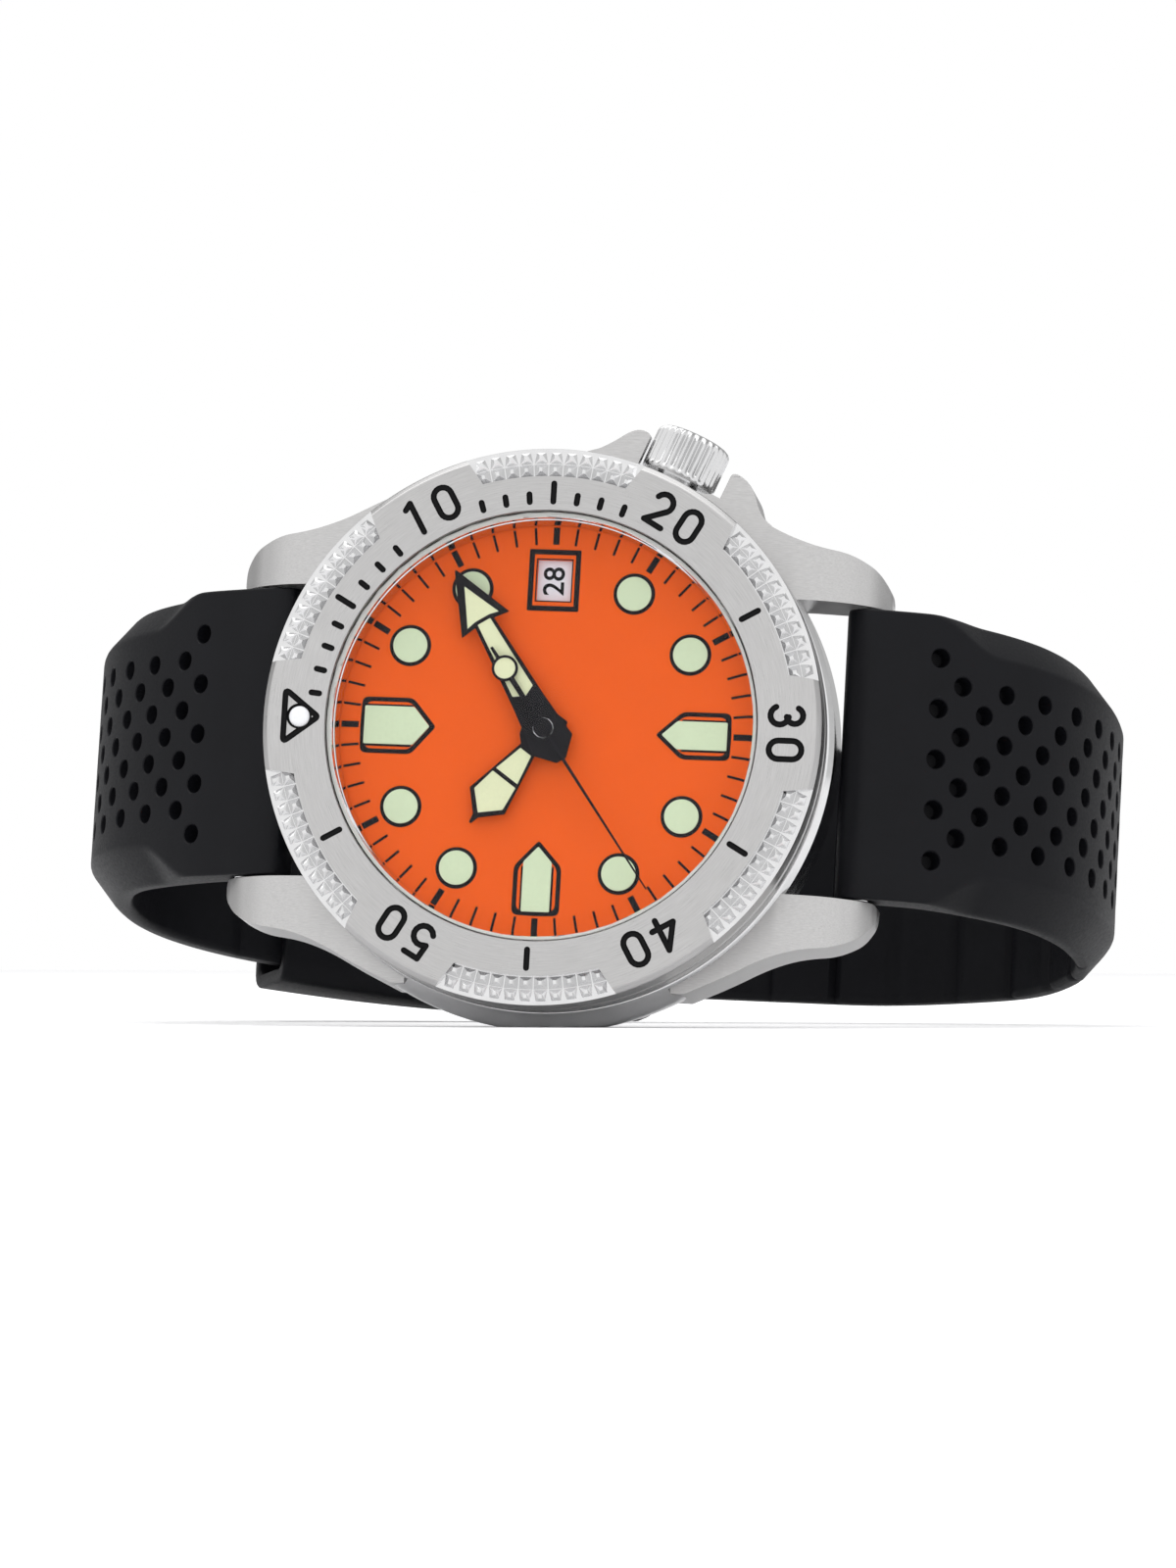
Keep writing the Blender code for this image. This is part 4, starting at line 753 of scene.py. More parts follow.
def lume_plots():
    """The raised luminous markers."""
    plots = []
    for hour in (1, 2, 4, 5, 7, 8, 10, 11):
        plots.append(slab("dot", [circle(1.15, dial_point(10.9, 30 * hour))], -0.02, 0.16, LUME))
    for clockwise, near, far, half, shoulder, lume in MARKERS:
        slope = half / (shoulder - near)
        tip = near + 0.42
        outline = [(tip, 0, 0.1), (tip + lume / slope, lume, 0.1), (far - 0.22, lume, 0.1)]
        outline += [(far - 0.22, -lume, 0.1), (tip + lume / slope, -lume, 0.1)]
        plots.append(slab("plot", [on_dial(rounded(outline, 0.1, 3), clockwise)], -0.02, 0.16, LUME))
    return plots


def text_mesh(words, height, material, place):
    """Figures in Blender's own font as a thin solid, laid by a matrix."""
    curve = bpy.data.curves.new("figures", "FONT")
    curve.body = words
    curve.size = height
    curve.align_x = "CENTER"
    curve.align_y = "CENTER"
    curve.extrude = 0.01
    curve.offset = 0.02
    curve.resolution_u = 4
    holder = bpy.data.objects.new("figures", curve)
    bpy.context.scene.collection.objects.link(holder)
    depsgraph = bpy.context.evaluated_depsgraph_get()
    mesh = bpy.data.meshes.new_from_object(holder.evaluated_get(depsgraph))
    bpy.data.objects.remove(holder)
    bpy.data.curves.remove(curve)
    mesh.transform(place)
    mesh.materials.clear()
    mesh.materials.append(material)
    return mesh


def make_date():
    """The date ring, with a figure for each day; 28 stands in the window."""
    ring = slab("date_ring", [circle(12.95, count=120), circle(8.3, count=120)], -0.62, -0.47, DATE_WHITE)
    figures = []
    for day in range(1, 32):
        step = (day - 28) * 360 / 31
        turn = Matrix.Rotation(math.radians(step), 4, "Z")
        place = turn @ Matrix.Translation((0, 10.2, -0.465)) @ Matrix.Rotation(math.radians(90), 4, "Z")
        figures.append(text_mesh(str(day), 2.0, BLACK_PRINT, place))
    body = joined("date_ring", [ring] + figures, DATE_WHITE, BLACK_PRINT)
    piece("date_ring", body, "date", "white_print", "date_disc")


# ---- hands ---------------------------------------------------------------------------------------


def both_sides(upper):
    """An outline from its upper edge, tip to tail, drawn as (outward, clockwise)."""
    return upper + [(p[0], -p[1], *p[2:]) for p in reversed(upper) if p[1] > 0]


def hand(name, body, clockwise, height, outline, lumes, hub, replaced=None, slot="black_steel"):
    """A black hand with raised edges round its luminous fields."""
    turned_lumes = [on_dial(field, clockwise) for field in lumes]
    loops = [on_dial(outline, clockwise)] + turned_lumes
    frame_piece = hidden(name, slab(name, loops, height, height + 0.16, BLACK_PRINT))
    soften(frame_piece, 0.035, 2)
    show(frame_piece, body, slot, *([replaced] if replaced else []))
    if turned_lumes:
        fields = [slab("field", [loop], height + 0.02, height + 0.12, HAND_LUME) for loop in turned_lumes]
        filled = joined(name + "_lume", fields, HAND_LUME)
        piece(name + "_lume", filled, body, "lume")
    rim = hub[0]
    cap = [(0, height + hub[1]), (rim, height + hub[1], 0.03), (rim, height, 0.02), (0, height)]
    cap = lathe(name + "_hub", rounded(cap, 0.03, 3, closed=False), BLACK_PRINT, steps=64)
    piece(name + "_hub", cap, body, slot)


def make_hands():
    hour = [(7.95, 0.08), (7.35, 0.22), (6.1, 1.5), (1.7, 0.62), (1.25, 1.1), (0.2, 1.5), (-1.35, 0.95)]
    hour = both_sides(hour)
    far = [(4.28, 0.98), (5.95, 1.22), (7.1, 0.0), (5.95, -1.22), (4.28, -0.98)]
    near = [(4.0, 0.92), (1.95, 0.46), (1.95, -0.46), (4.0, -0.92)]
    hand("hour_hand_frame", "hours", HOUR_ANGLE, 0.62, hour, [near, far], (1.1, 0.2), "hour_hand")

    minute = [(12.35, 0.06), (8.1, 1.82), (8.25, 0.72), (2.1, 1.12), (0.3, 1.3), (-1.3, 1.5), (-2.5, 0.35)]
    minute = both_sides(minute)
    arrow = [(11.1, 0.0), (8.45, 1.2), (8.6, 0.55), (8.6, -0.55), (8.45, -1.2)]
    blade = [(8.35, 0.48), (2.9, 0.78), (2.5, 0.0), (2.9, -0.78), (8.35, -0.48)]
    fields = [arrow, blade]
    hand("minute_hand_frame", "minutes", MINUTE_ANGLE, 0.95, minute, fields, (0.85, 0.16), "minute_hand")

    disc = -4.8
    second = [(13.0, 0.05)] + [(x, y) for x, y in arc(0.58, 12, 164, 12)]
    second += arc(0.88, 12, 168, 20, (disc, 0)) + [(disc - 0.9, 0.12), (disc - 1.7, 0.1)]
    ring = circle(0.71, (disc, 0), 40)
    second = both_sides(second)
    hand("seconds_hand_frame", "seconds", SECOND_ANGLE, 1.28, second, [ring], (0.64, 0.2), "seconds_hand")


# ---- case ----------------------------------------------------------------------------------------

LUG_PLAN = [
    (14.2, 10.0, 0.0),
    (17.4, 10.0, 0.3),
    (22.0, 10.0, 0.15),
    (LUG_TIP, 10.35, 0.3),
    (22.15, 11.3, 0.8),
    (21.3, 12.5, 1.2),
    (19.6, 13.35, 1.5),
    (17.2, 13.68, 1.5),
    (15.0, 14.45, 1.5),
    (12.6, 15.75, 1.0),
    (8.4, 17.72, 0.0),
    (7.6, 15.9, 0.0),
]
LUG_SIDE = [
    (9.0, -2.62, 0.0),
    (16.6, -2.62, 1.5),
    (19.2, -3.3, 2.0),
    (21.2, -4.8, 1.5),
    (22.0, -6.0, 0.8),
    (LUG_TIP + 0.05, -7.2, 0.5),
    (22.1, -8.35, 0.4),
    (21.2, -8.72, 0.4),
    (19.2, -8.5, 1.0),
    (16.6, -7.88, 1.0),
    (9.0, -7.88, 0.0),
]
GUARD_LOW = [(0.6, 18.6), (1.0, 19.62), (2.2, 19.95), (3.2, 20.5), (4.0, 21.05), (4.6, 21.3)]
GUARD_LOW += [(5.2, 21.25), (5.62, 20.95), (4.4, 17.9), (2.2, 17.4)]
GUARD_HIGH = [(11.3, 18.6), (12.0, 18.25), (12.55, 17.7), (12.95, 17.0), (13.15, 16.2)]
GUARD_HIGH += [(13.6, 15.4), (14.4, 14.75), (14.0, 13.2), (10.2, 13.9), (9.75, 14.9)]


def make_lug(x_sign, y_sign):
    plan = rounded(mirrored(LUG_PLAN, x_sign, y_sign), 0.3, 5)
    side = rounded(mirrored(LUG_SIDE, x_sign, 1), 0.3, 5)
    lug = hidden("lug", slab("lug", [plan], -9.0, -2.0, STEEL_LONG, STEEL_BRIGHT))
    tilt = Matrix.Translation((0, y_sign * 13.4, 0)) @ Matrix.Rotation(math.pi / 2, 4, "X")
    combine(lug, "INTERSECT", hidden("side", slab("side", [side], -3.6, 3.6, STEEL_LONG), WATCH @ tilt))
    return soften(lug, 0.28, 4, 40)


def make_case():
    profile = [
        (14.45, -0.6, 0.0),
        (15.6, -0.6, 0.1),
        (15.6, -2.45, 0.0),
        (18.75, -2.45, 0.1),
        (19.3, -3.1, 0.3),
        (CASE_RADIUS, -3.9, 0.4),
        (CASE_RADIUS, -4.7, 0.4),
        (19.5, -6.2, 0.5),
        (19.3, -7.3, 0.3),
        (18.9, -7.9, 0.2),
        (17.05, -7.9, 0.1),
        (17.05, -7.05, 0.0),
        (14.45, -7.05, 0.0),
    ]
    case = hidden("case_body", lathe("case_body", rounded(profile, 0.1, 4), STEEL_BRIGHT))
    seats = []
    for facing in (0, 180):
        hollow = arc(19.12, -33, 33, 40) + [(24.0, 10.6), (24.0, -10.6)]
        seat = slab("seat", [moved(hollow, degrees=facing)], -9.0, -1.0, STEEL_BRIGHT)
        seats.append(hidden("seat", seat))
    combine(case, "DIFFERENCE", *seats)
    lugs = [make_lug(x, y) for x in (1, -1) for y in (1, -1)]
    combine(case, "UNION", *lugs)
    for outline in (GUARD_LOW, GUARD_HIGH):
        guard = hidden("guard", slab("guard", [rounded(outline, 0.4, 3)], -7.3, -2.7, STEEL_LONG))
        combine(case, "UNION", soften(guard, 0.22, 3, 40))
    ground = slab("ground", [rectangle(-60, -60, 60, 60)], -3.0, 0.0, STEEL_BRIGHT)
    combine(case, "DIFFERENCE", hidden("ground", ground, Matrix.Diagonal((MM, MM, MM, 1.0))))
    pocket = lathe("pocket", [(0, 24.0), (2.78, 24.0), (2.78, 19.3), (0, 19.3)], STEEL_BRIGHT, steps=96)
    combine(case, "DIFFERENCE", hidden("pocket", pocket, CROWN))
    weighted(show(case, "case", "satin_steel", "case_middle"))


def make_crown():
    """A fluted crown with a polished, gently domed end."""
    flutes, steps = 28, 336
    levels = [(19.62, 2.30, 0.0), (19.62, 2.5, 0.0), (19.8, 2.6, 0.0), (19.95, 2.62, 0.2), (20.15, 2.62, 1.0)]
    levels += [(22.2, 2.62, 1.0), (22.42, 2.56, 0.8), (22.6, 2.42, 0.4), (22.72, 2.2, 0.1), (22.8, 1.9, 0.0)]
    levels += [(22.84, 1.5, 0.0), (22.86, 1.0, 0.0), (22.86, 0.5, 0.0)]
    sections = []
    for height, radius, depth in levels:
        ring = []
        for i in range(steps):
            angle = math.tau * i / steps
            wave = 0.5 - 0.5 * math.cos(flutes * angle)
            reach = radius - 0.3 * depth * wave
            ring.append(Vector((reach * math.cos(angle), reach * math.sin(angle), height)))
        sections.append(ring)
    crown = loft("crown_grip", sections, STEEL_FLUTE)
    piece("crown_grip", crown, "crown", "polished_steel", "crown", matrix=CROWN, sharp=50)
    tube = [(0.8, 20.9), (1.5, 20.9, 0.1), (1.5, 15.0), (0.8, 15.0)]
    tube = lathe("crown_tube_bright", rounded(tube, 0.05, 2), STEEL_BRIGHT, steps=64)
    piece("crown_tube_bright", tube, "case", "polished_steel", "crown_tube", matrix=CROWN)


def make_case_back():
    profile = [
        (0, -7.4, 0.0),
        (14.2, -7.4, 0.1),
        (14.2, -7.15, 0.1),
        (16.9, -7.15, 0.1),
        (16.9, -8.1, 0.15),
        (15.6, -8.3, 0.2),
        (14.9, BACK_OUTER, 0.15),
        (12.4, BACK_OUTER, 0.05),
        (12.3, BACK_OUTER + 0.12, 0.05),
        (12.0, BACK_OUTER + 0.12, 0.05),
        (11.9, BACK_OUTER, 0.05),
        (0, BACK_OUTER, 0.0),
    ]
    back = hidden("case_back", lathe("case_back", rounded(profile, 0.05, 3, closed=False), STEEL_MATT))
    keys = []
    for i in range(6):
        loop = moved(rounded(rectangle(13.6, -1.1, 15.4, 1.1), 0.3, 4), degrees=60 * i)
        keys.append(hidden("key", slab("key", [loop], BACK_OUTER - 0.2, BACK_OUTER + 0.5, STEEL_BRIGHT)))
    combine(back, "DIFFERENCE", *keys)
    weighted(show(back, "case", "polished_steel", "caseback"))


# ---- strap ---------------------------------------------------------------------------------------

# the middle of each strap half's thickness, from the spring bar round the wrist
ROUTE_12 = [
    (-20.9, 0.0, -6.0),
    (-24.2, 0.0, -7.8),
    (-27.9, 0.0, -11.0),
    (-30.8, 0.0, -14.8),
    (-32.7, -0.1, -19.4),
    (-33.7, -0.4, -25.0),
    (-33.2, -0.9, -31.0),
    (-30.7, -1.4, -36.3),
    (-26.2, -1.9, -40.6),
    (-19.7, -2.4, -43.1),
    (-13.5, -2.75, -43.8),
    (-7.5, -2.85, -43.7),
]
ROUTE_6 = [
    (20.9, 0.0, -6.0),
    (25.2, 0.0, -7.6),
    (29.1, -0.2, -10.2),
    (32.4, -0.5, -13.9),
    (34.4, -0.9, -18.3),
    (35.3, -1.3, -23.5),
    (35.3, -1.7, -29.0),
    (33.6, -2.1, -34.5),
    (30.2, -2.5, -39.2),
    (25.0, -2.7, -42.4),
    (19.0, -2.9, -44.0),
    (12.5, -2.9, -44.3),
    (6.0, -2.9, -44.2),
    (1.5, -2.9, -44.6),
    (-3.0, -2.9, -45.6),
    (-7.5, -2.85, -46.5),
    (-12.5, -2.8, -46.7),
    (-17.0, -2.6, -46.5),
    (-20.3, -2.4, -45.9),
]
DIMPLE_PITCH = 1.6
DIMPLE_RADIUS = 0.66
DIMPLE_ROW = 3.45
DIMPLE_COLUMNS = 24


def smooth_route(points, per_span):
    """Points of a Catmull-Rom curve through the route."""
    rows = [Vector(point) for point in points]
    rows = [2 * rows[0] - rows[1]] + rows + [2 * rows[-1] - rows[-2]]
    result = []
    for i in range(1, len(rows) - 2):
        a, b, c, d = rows[i - 1 : i + 3]
        for k in range(per_span):
            t = k / per_span
            point = 0.5 * (2 * b + (c - a) * t + (2 * a - 5 * b + 4 * c - d) * t * t)
            point += 0.5 * (3 * b - a - 3 * c + d) * t**3
            result.append(point)
    result.append(rows[-2])
    return result


def stations(points, per_span=14):
    """(point, unit normal away from the wrist, distance along the strap) down a route."""
    line = smooth_route(points, per_span)
    middle = Vector((0, 0, -25.0))
    result = []
    distance = 0.0
    for i, point in enumerate(line):
        along = line[min(i + 1, len(line) - 1)] - line[max(i - 1, 0)]
        normal = Vector((along.z, 0, -along.x)).normalized()
        if normal.dot(point - middle) < 0:
            normal = -normal
        if i:
            distance += (point - line[i - 1]).length
        result.append((point, normal, distance))
    return result


def ease(value, low, high):
    share = min(max((value - low) / (high - low), 0.0), 1.0)
    return share * share * (3 - 2 * share)


def half_width(distance):
    return 9.85 + (STRAP_REAR_HALF - 9.85) * ease(distance, 3.0, 45.0)


def strap_section(point, normal, half, thick, shoulder, rib=0.0):
    """The strap's outline across its run, its outer corners cut back by the shoulder."""
    out, back = thick / 2, -thick / 2 + rib
    wide, deep = 0.12 + 1.03 * shoulder, 0.12 + 0.83 * shoulder
    corners = [
        (-half, back + 0.3, 0.25),
        (-half + 0.3, back, 0.25),
        (half - 0.3, back, 0.25),
        (half, back + 0.3, 0.25),
        (half, out - deep, 0.35),
        (half - wide, out, 0.35),
        (-half + wide, out, 0.35),
        (-half, out - deep, 0.35),
    ]
    side = Vector((0, 1, 0))
    return [point + side * across + normal * away for across, away in rounded(corners, 0.3, 3)]


def strap_sections(route, near_thick, far_thick, reach=1.6, tail_from=None, ribs=None):
    rows = stations(route)
    end = rows[-1][2]
    sections = []
    head, normal, _ = rows[0]
    inward = (rows[0][0] - rows[1][0]).normalized()
    for i in range(8):
        angle = math.radians(80 - 10 * i)
        at = head + inward * reach * math.sin(angle)
        thick = near_thick * max(math.cos(angle), 0.2) ** (1.6 / reach)
        sections.append(strap_section(at, normal, half_width(0), thick, 0))
    for point, normal, distance in rows:
        thick = near_thick + (far_thick - near_thick) * ease(distance, 8.0, 42.0)
        shoulder = 2.15 * ease(distance, 3.6, 8.6) * (1 - 0.7 * ease(distance, 26.0, 44.0))
        half = half_width(distance)
        if tail_from:
            half -= 5.5 * ease(distance, end - tail_from, end + 1.0) ** 2
        rib = 0.0
        if ribs and ribs[0] < distance < ribs[1]:
            rib = 0.45 * max(0.0, 1 - abs((distance - ribs[0]) % ribs[2] - ribs[2] / 2) / 0.45)
        sections.append(strap_section(point, normal, half, thick, shoulder, rib))
    return sections


def at_distance(rows, distance):
    """The station at a distance along the strap."""
    for (p, n, s), (q, m, t) in zip(rows, rows[1:]):
        if t >= distance:
            share = (distance - s) / max(t - s, 1e-6)
            return p.lerp(q, share), n.lerp(m, share).normalized()
    return rows[-1][0], rows[-1][1]


def dimple_cutters(route, start, near_thick, far_thick):
    """Blind holes in staggered columns, each with a small chamfer at its mouth."""
    rows = stations(route)
    pits = []
    for column in range(DIMPLE_COLUMNS):
        distance = start + DIMPLE_PITCH * column
        point, normal = at_distance(rows, distance)
        thick = near_thick + (far_thick - near_thick) * ease(distance, 8.0, 42.0)
        places = (0, 1, -1) if column % 2 == 0 else (0.5, -0.5, 1.5, -1.5)
        if column == 0:
            places = (0, 1, -1, 2, -2)
        for place in places:
            centre = point + Vector((0, 1, 0)) * (place * DIMPLE_ROW) + normal * (thick / 2)
            depth = 1.2
            profile = [(0, 0.6), (DIMPLE_RADIUS + 0.68, 0.6), (DIMPLE_RADIUS, -0.08)]
            profile += [(DIMPLE_RADIUS * 0.94, 0.25 - depth), (DIMPLE_RADIUS * 0.7, -depth), (0, -depth)]
            pit = lathe("pit", profile, RUBBER, steps=20)
            y_axis = Vector((0, 1, 0))
            place_matrix = Matrix((y_axis.cross(normal), y_axis, normal)).transposed().to_4x4()
            pit.transform(Matrix.Translation(centre) @ place_matrix)
            pits.append(pit)
    return joined("pits", pits, RUBBER)


def cross_bore(x, y, z, radius, length):
    """A bore along Y."""
    tilt = Matrix.Translation((x, y, z)) @ Matrix.Rotation(math.pi / 2, 4, "X")
    rod = [(0, length), (radius, length), (radius, -length), (0, -length)]
    return hidden("bore", lathe("bore", rod, RUBBER, steps=32), WATCH @ tilt)


BUCKLE_PIVOT = Vector((-7.5, -2.85, -43.7))
BUCKLE_FAR = (1.4, -47.2)


def make_straps():
    sections = strap_sections(ROUTE_12, 3.3, 2.7, reach=3.4, ribs=(38.0, 62.0, 4.8))
    tip = Vector((1, 0, 0))
    last_point, last_normal, _ = stations(ROUTE_12)[-1]
    for i in range(1, 8):
        angle = math.radians(11 * i)
        at = last_point + tip * 1.35 * math.sin(angle)
        half = STRAP_REAR_HALF - 0.3 * (1 - math.cos(angle))
        sections.append(strap_section(at, last_normal, half, 2.7 * math.cos(angle), 0))
    first = hidden("strap_half_12", loft("strap_half_12", sections, RUBBER))
    body = lathe("clearance", [(0, 0), (CASE_RADIUS - 0.4, 0), (CASE_RADIUS - 0.4, -12), (0, -12)], RUBBER)
    combine(first, "DIFFERENCE", hidden("clearance", body))
    combine(first, "DIFFERENCE", hidden("pits", dimple_cutters(ROUTE_12, 3.5, 3.3, 2.7)))
    x, y, z = BUCKLE_PIVOT
    notch = slab("notch", [rectangle(x - 2.8, y - 1.35, x + 3.0, y + 1.35)], -46.5, -40.0, RUBBER)
    combine(first, "DIFFERENCE", cross_bore(-SPRING_BAR[0], 0, SPRING_BAR[1], 0.8, 12))
    combine(first, "DIFFERENCE", cross_bore(x, y, z, 0.78, 12), hidden("notch", notch))
    show(first, "case", "black_rubber", "strap_12", sharp=40)

    sections = strap_sections(ROUTE_6, 3.3, 2.3, tail_from=14.0, ribs=(26.0, 70.0, 4.8))
    second = hidden("strap_half_6", loft("strap_half_6", sections, RUBBER))
    combine(second, "DIFFERENCE", hidden("pits", dimple_cutters(ROUTE_6, 4.35, 3.3, 2.3)))
    slot = [rounded(rectangle(x - 2.3, y - 1.35, x + 6.4, y + 1.35), 0.6, 4)]
    slot = slab("slot", slot, -49.0, -43.0, RUBBER)
    combine(second, "DIFFERENCE", hidden("slot", slot))
    combine(second, "DIFFERENCE", cross_bore(SPRING_BAR[0], 0, SPRING_BAR[1], 0.8, 12))
    show(second, "case", "black_rubber", "strap_6", sharp=40)


def make_keeper(name, body, first, last, replaced):
    """A moulded loop round both strap halves, between two places along X."""
    rows = [row for row in stations(ROUTE_12, 18) if first <= row[0].x <= last and row[0].z < -30]
    half = STRAP_REAR_HALF + KEEPER_SLACK
    side = Vector((0, 1, 0))
    low, high = KEEPER_ROOM

    def ring(point, normal, extra, corner):
        box = [(-half - extra, low - extra), (half + extra, low - extra)]
        box += [(half + extra, high + extra), (-half - extra, high + extra)]
        return [point + side * a + normal * b for a, b in rounded(box, corner, 5)]

    outside = [ring(p, n, KEEPER_WALL, 1.5) for p, n, _ in rows]
    inside = [ring(p, n, 0.0, 0.7) for p, n, _ in rows]
    loop = hidden(name, loft(name, outside, RUBBER, hollow=inside))
    soften(loop, 0.25, 3, 50)
    show(loop, body, "black_rubber", replaced, sharp=40)


def spring_bar(name, x, y, z, half, radius, replaced):
    collar = radius + 0.12
    profile = [(0, half + 0.9), (0.38, half + 0.9, 0.15), (0.38, half), (radius, half, 0.1)]
    profile += [(radius, half - 1.2), (collar, half - 1.2), (collar, half - 1.6), (radius, half - 1.6)]
    profile += [(radius, 1.6 - half), (collar, 1.6 - half), (collar, 1.2 - half), (radius, 1.2 - half)]
    profile += [(radius, -half, 0.1), (0.38, -half), (0.38, -half - 0.9, 0.15), (0, -half - 0.9)]
    tilt = Matrix.Translation((x, y, z)) @ Matrix.Rotation(math.pi / 2, 4, "X")
    bar_mesh = lathe(name, rounded(profile, 0.03, 2, closed=False), STEEL_BRIGHT, steps=32)
    piece(name, bar_mesh, "case", "polished_steel", replaced, matrix=WATCH @ tilt)


def make_buckle():
    slope = math.atan2(BUCKLE_PIVOT.z - BUCKLE_FAR[1], BUCKLE_FAR[0] - BUCKLE_PIVOT.x)
    reach = math.hypot(BUCKLE_FAR[0] - BUCKLE_PIVOT.x, BUCKLE_FAR[1] - BUCKLE_PIVOT.z)
    place = WATCH @ Matrix.Translation(BUCKLE_PIVOT) @ Matrix.Rotation(slope, 4, "Y")
    inner, outer = STRAP_REAR_HALF + 0.35, STRAP_REAR_HALF + 1.45
    upper = [(reach - 1.0, inner, 0.8), (-1.1, inner, 0.3), (-1.1, outer, 0.5)]
    upper += [(reach + 0.1, outer, 1.2), (reach + 0.9, outer - 0.9, 0.9)]
    outline = upper + [(x, -y, r) for x, y, r in reversed(upper)]
    buckle = hidden("buckle", slab("buckle", [rounded(outline, 0.5, 5)], -0.9, 0.9, STEEL_LONG), place)
    soften(buckle, 0.35, 4, 40)
    weighted(show(buckle, "buckle_frame", "polished_steel", "buckle_frame"))
    tip = [(2.6, 1.9, 2.0), (reach + 0.5, 1.9, 0.5), (reach + 0.9, 1.35, 0.3), (reach + 0.7, 0.95, 0.2)]
    tongue = rounded([(x, y, 0.0) for x, y in arc(1.3, 47, -280, 40)] + tip, 0.0, 5)
    tongue = [(x, -z) for x, z in tongue]
    shape = slab("tongue", [tongue, circle(0.8, count=32)], -1.05, 1.05, STEEL_BRIGHT)
    pin = hidden("buckle_pin", shape, place @ Matrix.Rotation(math.pi / 2, 4, "X"))
    soften(pin, 0.12, 3, 40)
    show(pin, "buckle_tongue", "polished_steel", "buckle_tongue")
    x, y, z = BUCKLE_PIVOT
    spring_bar("buckle_bar", x, y, z, inner - 0.05, 0.66, "buckle_spring_bar")


# ---- the nodes that keep their own shape ---------------------------------------------------------


def metal_nodes():
    """Brass, plated and blued finishes for the movement, in the frame's metres."""

    def finish(name, colour, roughness, scale):
        shader = Shader(name, colour, roughness, 1.0)
        lines = shader.noise(shader.stretched(40, 900, 900), scale, 3.0)
        shader.drive("Base Color", shader.ramp(lines, shade(colour, 0.85), shade(colour, 1.1)))
        shader.drive("Roughness", shader.ramp(lines, roughness - 0.05, roughness + 0.12))
        return shader.material

    return {
        "brass": finish("gilt_brass", (0.72, 0.5, 0.2), 0.3, 4.0),
        "rhodium": finish("striped_rhodium", (0.6, 0.6, 0.62), 0.3, 3.0),
        "blued_spring": finish("blued_steel", (0.05, 0.09, 0.35), 0.25, 4.0),
        "polished_steel": finish("polished_parts", (0.7, 0.7, 0.71), 0.14, 4.0),
        "satin_steel": finish("satin_parts", (0.6, 0.6, 0.61), 0.3, 4.0),
        "seal_rubber": SEAL,
        "nylon": NYLON,
    }


def dress_nodes():
    looks = metal_nodes()
    slots = {part["node"]: part["material_slot"] for part in frame["record"]["subparts"]}
    for name, node in frame["nodes"].items():
        if node.hide_render:
            continue
        node.data.materials.clear()
        node.data.materials.append(looks[slots[name]])


# ---- studio --------------------------------------------------------------------------------------

CAMERA_AT = (71.4, -78.4, 488.6)  # in the watch's axes
CAMERA_RIGHT = (0.9899, 0.0566, -0.1298)
CAMERA_DOWN = (0.0359, -0.987, -0.1564)
LENS = 171.6
WORLD_FRONT, WORLD_BACK = 1.14, 0.5
TOP_POWER = 11.0
FLOOR_GLOW = 0.21  # only to the camera, so that the floor meets the background unseen


def area(name, location, target, size, power, colour=(1, 1, 1), size_y=None):
    light = bpy.data.lights.new(name, "AREA")
    light.shape = "RECTANGLE"
    light.size = size
    light.size_y = size_y or size
    light.energy = power
    light.color = colour
    lamp = bpy.data.objects.new(name, light)
    lamp.location = location
    lamp.rotation_euler = (Vector(target) - Vector(location)).to_track_quat("-Z", "Y").to_euler()
    bpy.context.scene.collection.objects.link(lamp)


def make_camera():
    turn = WATCH.to_3x3().normalized()
    right = (turn @ Vector(CAMERA_RIGHT)).normalized()
    up = (turn @ -Vector(CAMERA_DOWN)).normalized()
    back = right.cross(up).normalized()
    up = back.cross(right)
    camera = bpy.data.cameras.new("camera")
    camera.sensor_width = 36.0
    camera.lens = LENS
    camera.clip_start = 0.01
    camera.clip_end = 20.0
    holder = bpy.data.objects.new("camera", camera)
    rotation = Matrix((right, up, back)).transposed().to_4x4()
    holder.matrix_world = Matrix.Translation(WATCH @ Vector(CAMERA_AT)) @ rotation
    bpy.context.scene.collection.objects.link(holder)
    bpy.context.scene.camera = holder


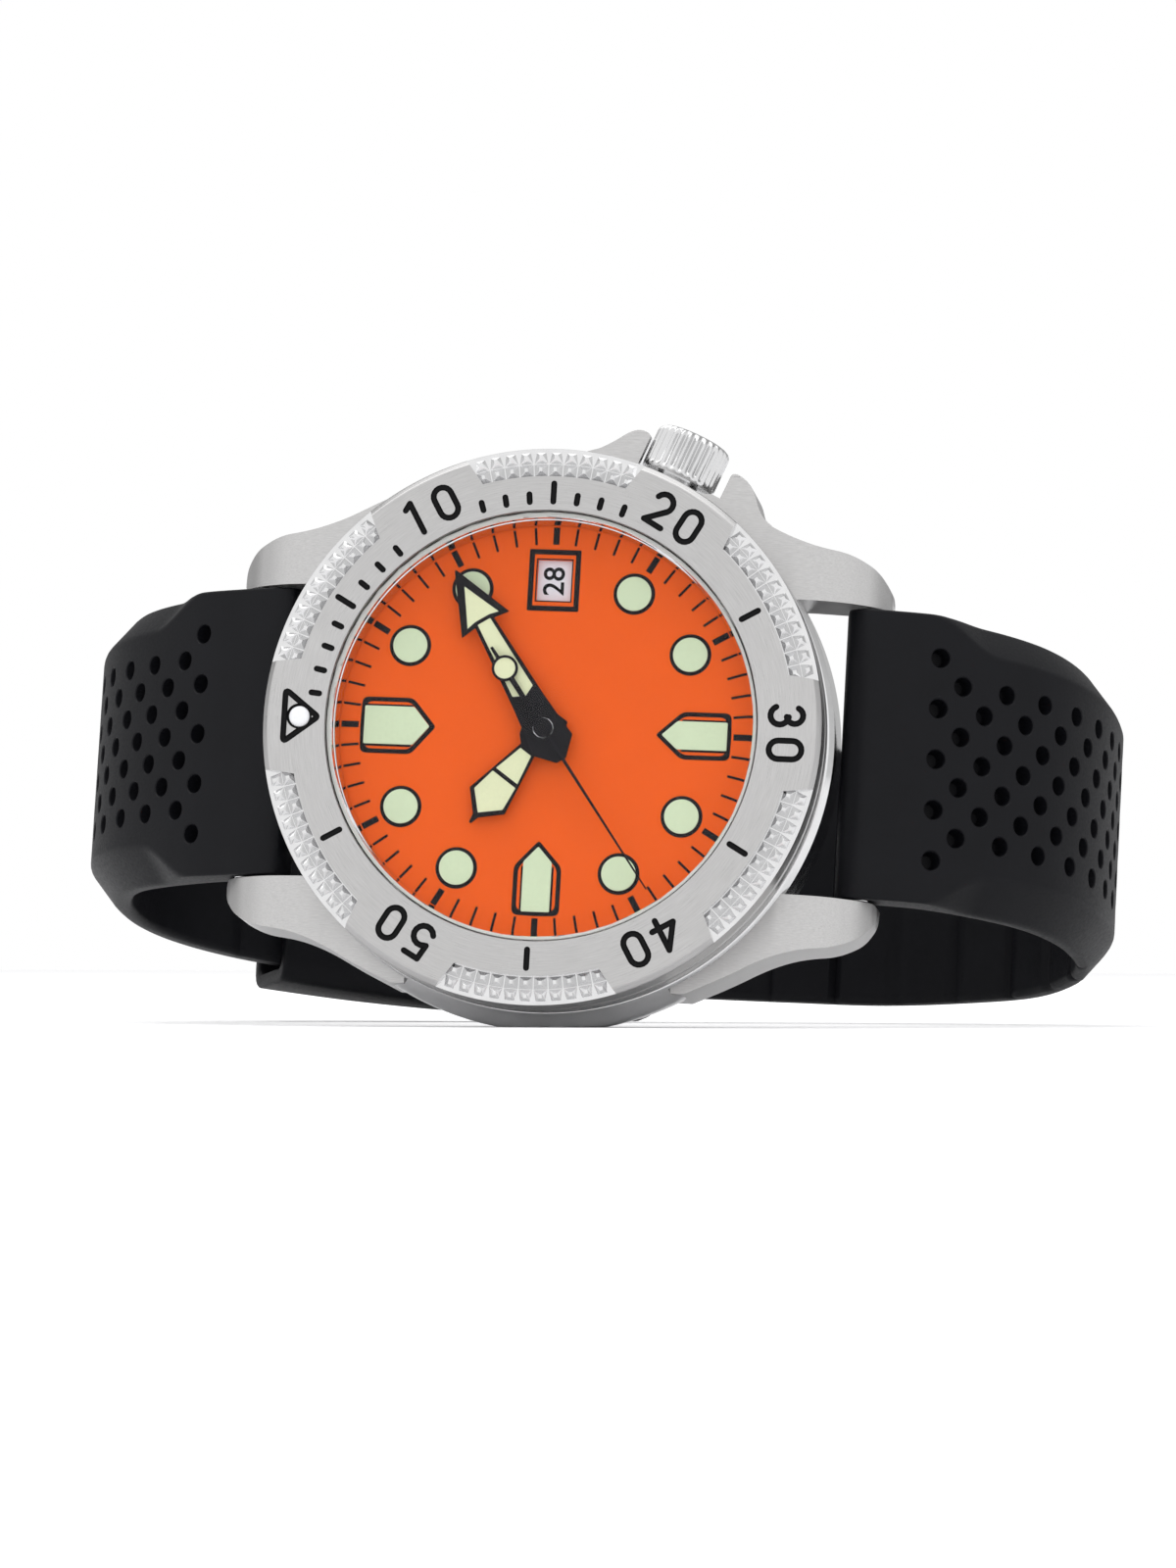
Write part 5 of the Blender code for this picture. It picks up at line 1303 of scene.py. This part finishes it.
def make_world():
    """White to the camera; for the watch, bright in front and dim behind."""
    world = bpy.data.worlds.new("studio")
    world.use_nodes = True
    tree = world.node_tree
    background = tree.nodes["Background"]
    background.inputs["Color"].default_value = (1.0, 1.0, 1.0, 1.0)
    split = tree.nodes.new("ShaderNodeSeparateXYZ")
    tree.links.new(tree.nodes.new("ShaderNodeTexCoord").outputs["Generated"], split.inputs[0])
    depth = tree.nodes.new("ShaderNodeMapRange")
    depth.interpolation_type = "SMOOTHSTEP"
    depth.inputs["From Min"].default_value = -0.5
    depth.inputs["From Max"].default_value = 0.4
    depth.inputs["To Min"].default_value = WORLD_FRONT
    depth.inputs["To Max"].default_value = WORLD_BACK
    tree.links.new(split.outputs[1], depth.inputs["Value"])
    seen = tree.nodes.new("ShaderNodeMath")
    seen.operation = "MAXIMUM"
    tree.links.new(depth.outputs["Result"], seen.inputs[0])
    tree.links.new(tree.nodes.new("ShaderNodeLightPath").outputs["Is Camera Ray"], seen.inputs[1])
    tree.links.new(seen.outputs[0], background.inputs["Strength"])
    bpy.context.scene.world = world


def make_studio():
    shell = bmesh.new()
    bmesh.ops.create_grid(shell, x_segments=1, y_segments=1, size=3.0)
    floor_look = Shader("floor_white", (0.92, 0.92, 0.93), 0.6)
    paper = floor_look.noise(None, 30.0, 2.0)
    floor_look.drive("Base Color", floor_look.ramp(paper, (0.91, 0.91, 0.92), (0.93, 0.93, 0.94)))
    floor_look.set("Specular IOR Level", 0.0)
    floor_look.set("Emission Color", (1.0, 1.0, 1.0, 1.0))
    seen = floor_look.tree.nodes.new("ShaderNodeLightPath").outputs["Is Camera Ray"]
    floor_look.drive("Emission Strength", floor_look.math("MULTIPLY", seen, FLOOR_GLOW))
    floor = bpy.data.objects.new("floor", finished(shell, "floor", floor_look.material))
    bpy.context.scene.collection.objects.link(floor)
    make_world()
    area("top", (-0.1, 0.1, 1.2), (0, 0, 0), 1.6, TOP_POWER)
    bpy.context.scene.view_settings.view_transform = "Standard"


make_camera()
make_studio()
make_bezel()
make_crystal()
make_dial()
make_date()
make_hands()
make_case()
make_crown()
make_case_back()
make_straps()
make_keeper("keeper_moulded", "case", -25.0, -12.4, "keeper_fixed")
make_keeper("keeper_loose", "keeper_free", -11.9, -9.8, "keeper_free")
spring_bar("lug_bar_12", -SPRING_BAR[0], 0, SPRING_BAR[1], LUG_GAP / 2 - 0.1, 0.72, "spring_bar_12")
spring_bar("lug_bar_6", SPRING_BAR[0], 0, SPRING_BAR[1], LUG_GAP / 2 - 0.1, 0.72, "spring_bar_6")
make_buckle()
dress_nodes()
